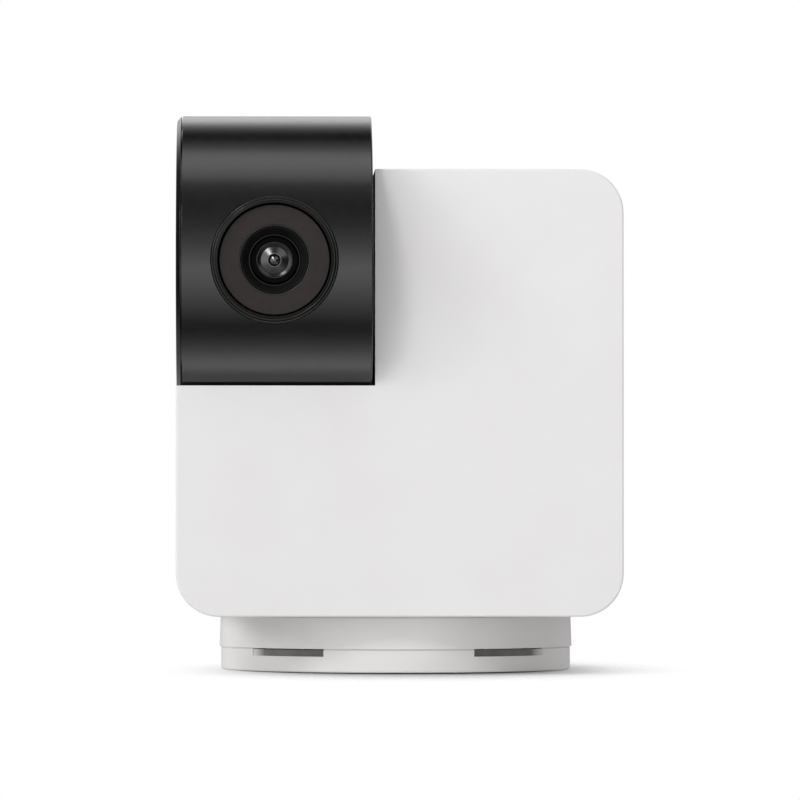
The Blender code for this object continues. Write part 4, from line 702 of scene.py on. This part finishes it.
def makeRearScrews():
    # One screw is turned and its cross is cut; the other three are copies of it
    s = rearScrewShape
    back = bodyShape["back"]
    x, z = rearScrews[0]
    first = lathe("rearScrew1",
                  [(0, 0), (s["head"] - 0.5, 0, 0.3), (s["head"], 0.5, 0.2), (s["head"], s["headThick"]),
                   (s["shank"], s["headThick"]), (s["shank"], s["length"], 0.2), (0, s["length"] + 0.8)],
                  (x, back, z), facingFront, 48)
    for wide, tall in ((s["reach"], s["slot"] / 2), (s["slot"] / 2, s["reach"])):
        cutOut(first, roundedBox("crossBar", (x - wide, back - s["slotDeep"], z - tall),
                                 (x + wide, back + 1, z + tall)))
    softenEdges(first, 0.04)
    screws = [first]
    for number, (otherX, otherZ) in enumerate(rearScrews[1:], 2):
        screws.append(copyTo(first, f"rearScrew{number}", otherX - x, 0, otherZ - z))
    for number, screw in enumerate(screws, 1):
        finishPiece(screw, "housing", zincPlate, [f"rear_screw_{number}"])


def makeButton():
    s = buttonShape
    radius, flange = s["radius"], s["flange"]
    # Heights run forwards from the button's outer face; the face is slightly dished
    profile = [(0, 0.15), (radius - 0.5, 0.02), (radius, 0, 0.25), (radius, 2.0), (flange, 2.0),
               (flange, 2.8), (1.4, 2.8), (1.4, 4.0), (0, 4.0)]
    button = lathe("resetButton", profile, (s["x"], s["face"], s["z"]), facingFront, 64)
    finishPiece(button, "reset_button", whiteAbs, ["reset_button"])


def makeSpeaker():
    # Frame, cone and dust cap behind the slots; heights run forwards from the rim
    profile = [(0, 1.2), (1.6, 1.25), (2.6, 1.75, 0.2), (7.2, 0.55, 0.4), (7.9, 0.25, 0.3), (8.6, 0.5, 0.2),
               (8.9, 0.0), (9.5, 0, 0.15), (9.5, 0.9), (6.0, 2.1), (6.0, 4.2, 0.3), (0, 4.2)]
    speaker = lathe("speakerCone", profile, (grilleShape["x"], speakerRim, grilleShape["z"]), facingFront, 64)
    finishPiece(speaker, "housing", coatedPaper, ["speaker"])


makeHousing()
print("housing shell made")
makeRearCover()
makeRearScrews()
makeButton()
makeSpeaker()
print("rear cover made")


headShape = {"radius": 26.2, "wall": 2.0, "right": -4.8, "seam": -37.9, "capSeam": -38.1, "capFace": -38.9,
             "capRadius": 25.3, "capPlate": 1.6, "capSkirt": 3.0, "skirtGap": 0.3, "skirtWall": 1.4,
             "hubHole": 4.0, "opening": (11.08, 28)}
lensAxis = (-21.85, 71.9)     # its X and Z
bezelShape = {"front": -47.9, "radius": 11.0, "rimDrop": 0.69, "step": 10.4, "stepDrop": 0.25,
              "stepSize": (0.08, 0.14), "bore": 9.8, "boreEdge": (0.12, 0.16), "flange": 12.5,
              "flangeFront": -41.8, "flangeBack": -40.6, "beads": [(10.36, 0.24, 0.14), (10.8, 0.62, 0.18)]}
windowShape = {"front": -47.0, "radius": 9.5, "bore": 6.1, "thick": 1.2, "bead": 0.1}
hoodShape = {"front": -46.88, "radius": 5.8, "land": 0.2, "throat": 4.28, "lip": 0.1, "coneEnd": -44.6,
             "back": -43.0, "edgeIn": 0.01, "edgeOut": 0.08, "edgeHalf": 0.1}
lensShape = {"front": -45.3, "radius": 4.0, "bore": 3.14, "boreDrop": 0.05, "seatFrom": 0.95,
             "seatRadius": 2.95, "seat": 4.3, "length": 12.7}
ringShape = {"radius": 3.12, "lip": 3.02, "cone": (2.92, 0.22), "window": (2.44, 0.42), "inside": (2.44, 0.5),
             "thick": 0.88}
domeShape = {"front": -45.36, "lip": (1.2, 0.04), "flank": (2.4, 0.56), "rim": (2.9, 1.05), "thick": 1.9,
             "pupil": 1.07, "pupilDeep": 0.7}
pupilLens = [(0, 0.2), (0.2, 0.22, 0.08), (0.85, 0.49, 0.08), (1.05, 0.7), (1.05, 0.75), (0, 0.75)]


def onLensAxis(y):
    return (lensAxis[0], y, lensAxis[1])


def makeBarrel():
    s = headShape
    radius = s["radius"]
    bore = radius - s["wall"]
    length = s["right"] - s["seam"]
    barrel = lathe("headBarrel",
                   [(s["hubHole"], 0), (radius, 0, 0.3), (radius, length, 0.06), (bore, length),
                    (bore, s["wall"]), (s["hubHole"], s["wall"])],
                   (s["right"], *tiltAxis), facingLeft, 192)
    opening, deep = s["opening"]
    cutOut(barrel, drill("lensOpening", opening, onLensAxis(tiltAxis[0]), facingFront, deep, 128))
    softenEdges(barrel, 0.1, 3)
    finishPiece(barrel, "head", blackAbs, ["head_barrel"])

    depth = s["capSeam"] - s["capFace"]
    plate = depth - s["capPlate"]
    skirt = bore - s["skirtGap"]
    inner = skirt - s["skirtWall"]
    cap = lathe("headEndCap",
                [(0, depth), (s["capRadius"], depth, 0.35), (radius, 0, 0.06), (skirt, 0),
                 (skirt, -s["capSkirt"]), (inner, -s["capSkirt"]), (inner, plate), (0, plate)],
                (s["capSeam"], *tiltAxis), facingLeft, 192)
    finishPiece(cap, "head", blackAbs, ["head_end_cap"])


def beadProfile(inner, outer, front, back, edge):
    # A ring's section, rounded on the side that meets the eye
    return [(inner, front, edge), (outer, front, edge), (outer, back), (inner, back)]


def makeBezel():
    s = bezelShape
    place = onLensAxis(s["front"])
    back = s["flangeBack"] - s["front"]
    flange = s["flangeFront"] - s["front"]
    stepIn, stepDeep = s["stepSize"]
    boreIn, boreDeep = s["boreEdge"]
    # Two sloping lands with a small step between them, so the face that meets the eye stays dark
    bezel = lathe("lensBezel",
                  [(s["radius"], s["rimDrop"], 0.12), (s["step"] + stepIn, s["stepDrop"] + stepDeep, 0.03),
                   (s["step"], s["stepDrop"], 0.05), (s["bore"] + boreIn, 0, 0.05),
                   (s["bore"], boreDeep, 0.04), (s["bore"], back), (s["flange"], back), (s["flange"], flange),
                   (s["radius"], flange)],
                  place, facingBack, 128)
    finishPiece(bezel, "head", mattTrim, ["lens_bezel"])
    for number, (radius, drop, half) in enumerate(s["beads"], 1):
        profile = beadProfile(radius - half, radius + half, drop - half, drop + half, 0.9 * half)
        bead = lathe(f"bezelBead{number}", profile, place, facingBack, 128)
        finishPiece(bead, "head", blackTrim)


def makeWindow():
    s = windowShape
    bore, thick = s["bore"], s["thick"]
    place = onLensAxis(s["front"])
    window = lathe("irWindow", [(bore, 0, 0.12), (s["radius"], 0, 0.08), (s["radius"], thick), (bore, thick)],
                   place, facingBack, 128)
    finishPiece(window, "head", smokedAcrylic, ["ir_window"])
    half = s["bead"]
    bead = lathe("windowBead", beadProfile(bore - 2 * half, bore, half, 3 * half, 0.9 * half),
                 place, facingBack, 128)
    finishPiece(bead, "head", blackAnodised)


def makeHood():
    s = hoodShape
    radius, throat = s["radius"], s["throat"]
    place = onLensAxis(s["front"])
    back = s["back"] - s["front"]
    lip = throat + s["lip"]
    drop = s["coneEnd"] - s["front"]
    hood = lathe("lensHood",
                 [(radius, 0, 0.09), (radius - s["land"], 0, 0.09), (lip, drop, 0.03), (throat, drop, 0.05),
                  (throat, back), (radius, back)],
                 place, facingBack, 96)
    finishPiece(hood, "head", blackNylon, ["lens_hood"])
    half = s["edgeHalf"]
    edge = lathe("hoodEdge",
                 beadProfile(throat - s["edgeIn"], lip + s["edgeOut"], drop - half, drop + half, 0.7 * half),
                 place, facingBack, 96)
    finishPiece(edge, "head", blackTrim)


def makeLens():
    # Heights run back from the lens barrel's front rim
    s = lensShape
    radius, bore = s["radius"], s["bore"]
    barrel = lathe("lensBarrel",
                   [(radius, 0, 0.1), (bore, s["boreDrop"], 0.03), (bore, s["seatFrom"]),
                    (s["seatRadius"], s["seatFrom"]), (s["seatRadius"], s["seat"]), (0, s["seat"]),
                    (0, s["length"]), (radius, s["length"], 0.1)],
                   onLensAxis(s["front"]), facingBack, 96)
    finishPiece(barrel, "head", flockBlack, ["lens_barrel"])
    # A polished ring holds the glass; its cone slopes in towards it
    r = ringShape
    ring = lathe("lensRing",
                 [(r["radius"], 0, 0.04), (r["lip"], 0, 0.04), (*r["cone"], 0.04), (*r["window"], 0.05),
                  r["inside"], (r["cone"][0], r["thick"]), (r["radius"], r["thick"])],
                 onLensAxis(s["front"]), facingBack, 128)
    finishPiece(ring, "head", blackAnodised)

    # The front element is blacked from behind but for its pupil, where a small second element shows
    d = domeShape
    glass = lathe("frontLens",
                  [(0, d["pupilDeep"]), (d["pupil"], d["pupilDeep"]), (d["pupil"], d["lip"][1], 0.04),
                   (*d["lip"], 0.06), (*d["flank"], 0.3), (*d["rim"], 0.04), (d["rim"][0], d["thick"]),
                   (0, d["thick"])],
                  onLensAxis(d["front"]), facingBack, 128)
    finishPiece(glass, "head", blackedGlass, ["front_lens"])
    element = lathe("innerLens", pupilLens, onLensAxis(d["front"]), facingBack, 64)
    finishPiece(element, "head", coatedGlass)


makeBarrel()
makeBezel()
makeWindow()
makeHood()
makeLens()
print("camera head made")


# The frame's own pieces, which stay as they are, get their materials here
nodeFinishes = [
    (acetal, ["sun_gear", "tilt_gear", "pan_pinion", "tilt_pinion"]),
    (filledNylon, ["glide_ring", "pan_bush", "tilt_bush", "tilt_hub", "pan_motor_bracket",
                   "tilt_motor_bracket"]),
    (drawnSteel, ["pan_motor", "tilt_motor", "post_nut", "hub_clip"]),
    (nickelPlate, ["shield_can"]),
    (zincPlate, ["base_screw_1", "base_screw_2", "base_screw_3", "pan_motor_screw_1", "pan_motor_screw_2",
                 "tilt_motor_screw_1", "tilt_motor_screw_2", "board_screw_1", "board_screw_2",
                 "sensor_screw_1", "sensor_screw_2"]),
    (greenBoard, ["base_board", "main_board", "sensor_board", "led_board"]),
    (epoxyChip, ["wifi_module", "tact_switch", "image_sensor"]),
    (blackNylon, ["lens_holder", "optics_mount", "switch_plunger"]),
    (lampResin, ["ir_led_1", "ir_led_2", "ir_led_3", "ir_led_4"]),
]
for finish, nodeNames in nodeFinishes:
    for nodeName in nodeNames:
        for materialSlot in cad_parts[nodeName].material_slots:
            materialSlot.material = finish
print("frame pieces finished")


floorShape = {"half": 1500, "dark": "#E4E4E4", "light": "#E8E8E8", "patch": 6, "lift": 1.35, "shade": 0.10,
              "shadeReach": 60, "fadeFrom": 13, "fadeTo": 50, "fadeDepth": 0.45, "fadeRight": 5}
# Each lamp stands at an azimuth (0 in front, + to the right) and an elevation, round the housing's middle
lamps = {
    "keySoftbox": {"azimuth": -29, "elevation": 36, "away": 1400, "size": 310, "watts": 4.0},
    "leftFill": {"azimuth": -67, "elevation": 20, "away": 1400, "size": 500, "watts": 4.0},
    "rightFill": {"azimuth": 40, "elevation": 35, "away": 1400, "size": 850, "watts": 1.9},
    "topFill": {"azimuth": -20, "elevation": 80, "away": 1200, "size": 600, "watts": 1.1},
}
# The studio's walls, as light levels in degrees up from the front round the X axis
middleBands = [(-180, 0.4), (-150, 0.4), (-120, 0.4), (-100, 0.5), (-86, 2.21), (-71, 0.95), (-58, 0.27),
               (-50, 0.12), (-44, 0.40), (-25, 1.28), (-5, 2.2), (12, 1.0), (30, 0.34), (40, 0.18),
               (50, 0.18), (66, 0.53), (84, 1.4), (103, 0.52), (112, 0.0), (120, 0.0), (132, 0.52),
               (145, 1.91), (160, 1.24), (180, 0.4)]
leftBands = [(-180, 1.92), (-135, 0.42), (-90, 0.15), (-45, 0.0), (0, 1.55), (45, 1.28), (90, 0.0),
             (135, 0.0), (180, 1.92)]
rightBands = [(-180, 0.67), (-90, 0.27), (0, 0.0), (90, 0.49), (180, 0.67)]
# Where the left and right walls take over from the middle, and where the far left goes dark, as the X of a
# direction of length 1
sideBlend = {"from": 0.30, "to": 0.70, "darkFrom": 0.86, "darkTo": 0.96}
worldLevel = 2.5
cameraShape = {"place": (-23.9, -1168, 30.8), "aim": (0.8, 0, 48.4), "lens": 292.5, "clip": 50}
housingMiddle = (0, 0, 55)


def makeFloor():
    s = floorShape
    deselectAll()
    bpy.ops.mesh.primitive_plane_add(size=2 * s["half"] * mm)
    floor = nameAs(bpy.context.object, "studioFloor")
    material = bpy.data.materials.new("paleFloor")
    material.use_nodes = True
    tree = material.node_tree
    tree.nodes.remove(tree.nodes["Principled BSDF"])
    place = addNode(tree, "ShaderNodeTexCoord").outputs["Object"]
    mottle = addNode(tree, "ShaderNodeTexNoise", {"Scale": perMetre(s["patch"]), "Detail": 2.0},
                     {"Vector": place})
    shade = addNode(tree, "ShaderNodeMix", twoColours(s), {0: mottle.outputs["Fac"]})
    plain = addNode(tree, "ShaderNodeBsdfDiffuse", {}, {"Color": shade.outputs[2]})
    clear = addNode(tree, "ShaderNodeBsdfTransparent")
    rays = addNode(tree, "ShaderNodeLightPath")
    # A soft light from behind would shade the floor in front of the base: occlusion round a normal that
    # leans back does it
    lean = addNode(tree, "ShaderNodeCombineXYZ", {"Y": 0.6, "Z": 0.8})
    hidden = addNode(tree, "ShaderNodeAmbientOcclusion", {"samples": 8, "Distance": s["shadeReach"] * mm},
                     {"Normal": lean.outputs[0]})
    shaded = addNode(tree, "ShaderNodeMapRange", {"To Min": s["lift"] * s["shade"], "To Max": s["lift"]},
                     {"Value": hidden.outputs["AO"]})
    lifted = addNode(tree, "ShaderNodeBsdfDiffuse", {}, {"Color": shaded.outputs["Result"]})
    # The camera sees the shadow near the base, and pure white further out
    squeeze = addNode(tree, "ShaderNodeMapping",
                      {"Location": (-s["fadeRight"] * mm, 0, 0), "Scale": (1, s["fadeDepth"], 1)},
                      {"Vector": place})
    away = addNode(tree, "ShaderNodeVectorMath", {"operation": "LENGTH"}, {0: squeeze.outputs["Vector"]})
    fade = addNode(tree, "ShaderNodeMapRange",
                   {"interpolation_type": "SMOOTHSTEP", "From Min": s["fadeFrom"] * mm,
                    "From Max": s["fadeTo"] * mm}, {"Value": away.outputs["Value"]})
    shown = addNode(tree, "ShaderNodeMixShader", {},
                    {0: fade.outputs["Result"], 1: lifted.outputs[0], 2: clear.outputs[0]})
    seen = addNode(tree, "ShaderNodeMixShader", {},
                   {0: rays.outputs["Is Camera Ray"], 1: plain.outputs[0], 2: shown.outputs[0]})
    mixed = addNode(tree, "ShaderNodeMixShader", {},
                    {0: rays.outputs["Is Glossy Ray"], 1: seen.outputs[0], 2: clear.outputs[0]})
    tree.links.new(mixed.outputs[0], tree.nodes["Material Output"].inputs["Surface"])
    floor.data.materials.append(material)


def makeWorld():
    world = bpy.data.worlds.new("softStudio")
    world.use_nodes = True
    bpy.context.scene.world = world
    tree = world.node_tree
    way = addNode(tree, "ShaderNodeTexCoord").outputs["Generated"]
    parts = addNode(tree, "ShaderNodeSeparateXYZ", {}, {0: way})
    ahead = addNode(tree, "ShaderNodeMath", {"operation": "MULTIPLY", 1: -1.0}, {0: parts.outputs["Y"]})
    angle = addNode(tree, "ShaderNodeMath", {"operation": "ARCTAN2"},
                    {0: parts.outputs["Z"], 1: ahead.outputs[0]})
    turn = addNode(tree, "ShaderNodeMapRange", {"From Min": -math.pi, "From Max": math.pi},
                   {"Value": angle.outputs[0]})
    walls = []
    for bands in (middleBands, leftBands, rightBands):
        wall = addNode(tree, "ShaderNodeValToRGB", {}, {"Fac": turn.outputs["Result"]})
        ramp = wall.color_ramp
        ramp.interpolation = "LINEAR"
        ramp.elements.remove(ramp.elements[1])
        for index, (degrees, level) in enumerate(bands):
            at = degrees / 360 + 0.5
            stop = ramp.elements.new(at) if index else ramp.elements[0]
            stop.position = at
            stop.color = (*[level / worldLevel] * 3, 1)
        walls.append(wall.outputs["Color"])
    s = sideBlend
    level = walls[0]
    blends = ((walls[1], -s["from"], -s["to"]), (walls[2], s["from"], s["to"]),
              (None, -s["darkFrom"], -s["darkTo"]))
    for wall, start, end in blends:
        settings = {"interpolation_type": "SMOOTHSTEP", "From Min": start, "From Max": end}
        share = addNode(tree, "ShaderNodeMapRange", settings, {"Value": parts.outputs["X"]})
        mixed = addNode(tree, "ShaderNodeMix", {"data_type": "RGBA", 7: (0, 0, 0, 1)},
                        {0: share.outputs["Result"], 6: level})
        if wall:
            tree.links.new(wall, mixed.inputs[7])
        level = mixed.outputs[2]
    lit = addNode(tree, "ShaderNodeBackground", {"Strength": worldLevel}, {"Color": level})
    white = addNode(tree, "ShaderNodeBackground", {"Color": (1, 1, 1, 1), "Strength": 1.0})
    rays = addNode(tree, "ShaderNodeLightPath")
    mixed = addNode(tree, "ShaderNodeMixShader", {},
                    {0: rays.outputs["Is Camera Ray"], 1: lit.outputs[0], 2: white.outputs[0]})
    tree.links.new(mixed.outputs[0], tree.nodes["World Output"].inputs["Surface"])


def aimAt(obj, target):
    obj.rotation_euler = (metres(target) - obj.location).to_track_quat("-Z", "Y").to_euler()


def makeLamp(name, shape):
    azimuth = math.radians(shape["azimuth"])
    elevation = math.radians(shape["elevation"])
    way = Vector((math.sin(azimuth) * math.cos(elevation), -math.cos(azimuth) * math.cos(elevation),
                  math.sin(elevation)))
    deselectAll()
    bpy.ops.object.light_add(type="AREA", location=way * shape["away"] * mm + metres(housingMiddle))
    lamp = nameAs(bpy.context.object, name)
    lamp.data.shape = "SQUARE"
    lamp.data.size = shape["size"] * mm
    lamp.data.energy = shape["watts"]
    aimAt(lamp, housingMiddle)


def makeCamera():
    deselectAll()
    bpy.ops.object.camera_add(location=metres(cameraShape["place"]))
    camera = nameAs(bpy.context.object, "studioCamera")
    camera.data.lens = cameraShape["lens"]
    camera.data.clip_start = cameraShape["clip"] * mm
    aimAt(camera, cameraShape["aim"])
    bpy.context.scene.camera = camera


makeFloor()
makeWorld()
for lampName, lampShape in lamps.items():
    makeLamp(lampName, lampShape)
makeCamera()
bpy.context.scene.view_settings.view_transform = "Standard"
print("studio made")
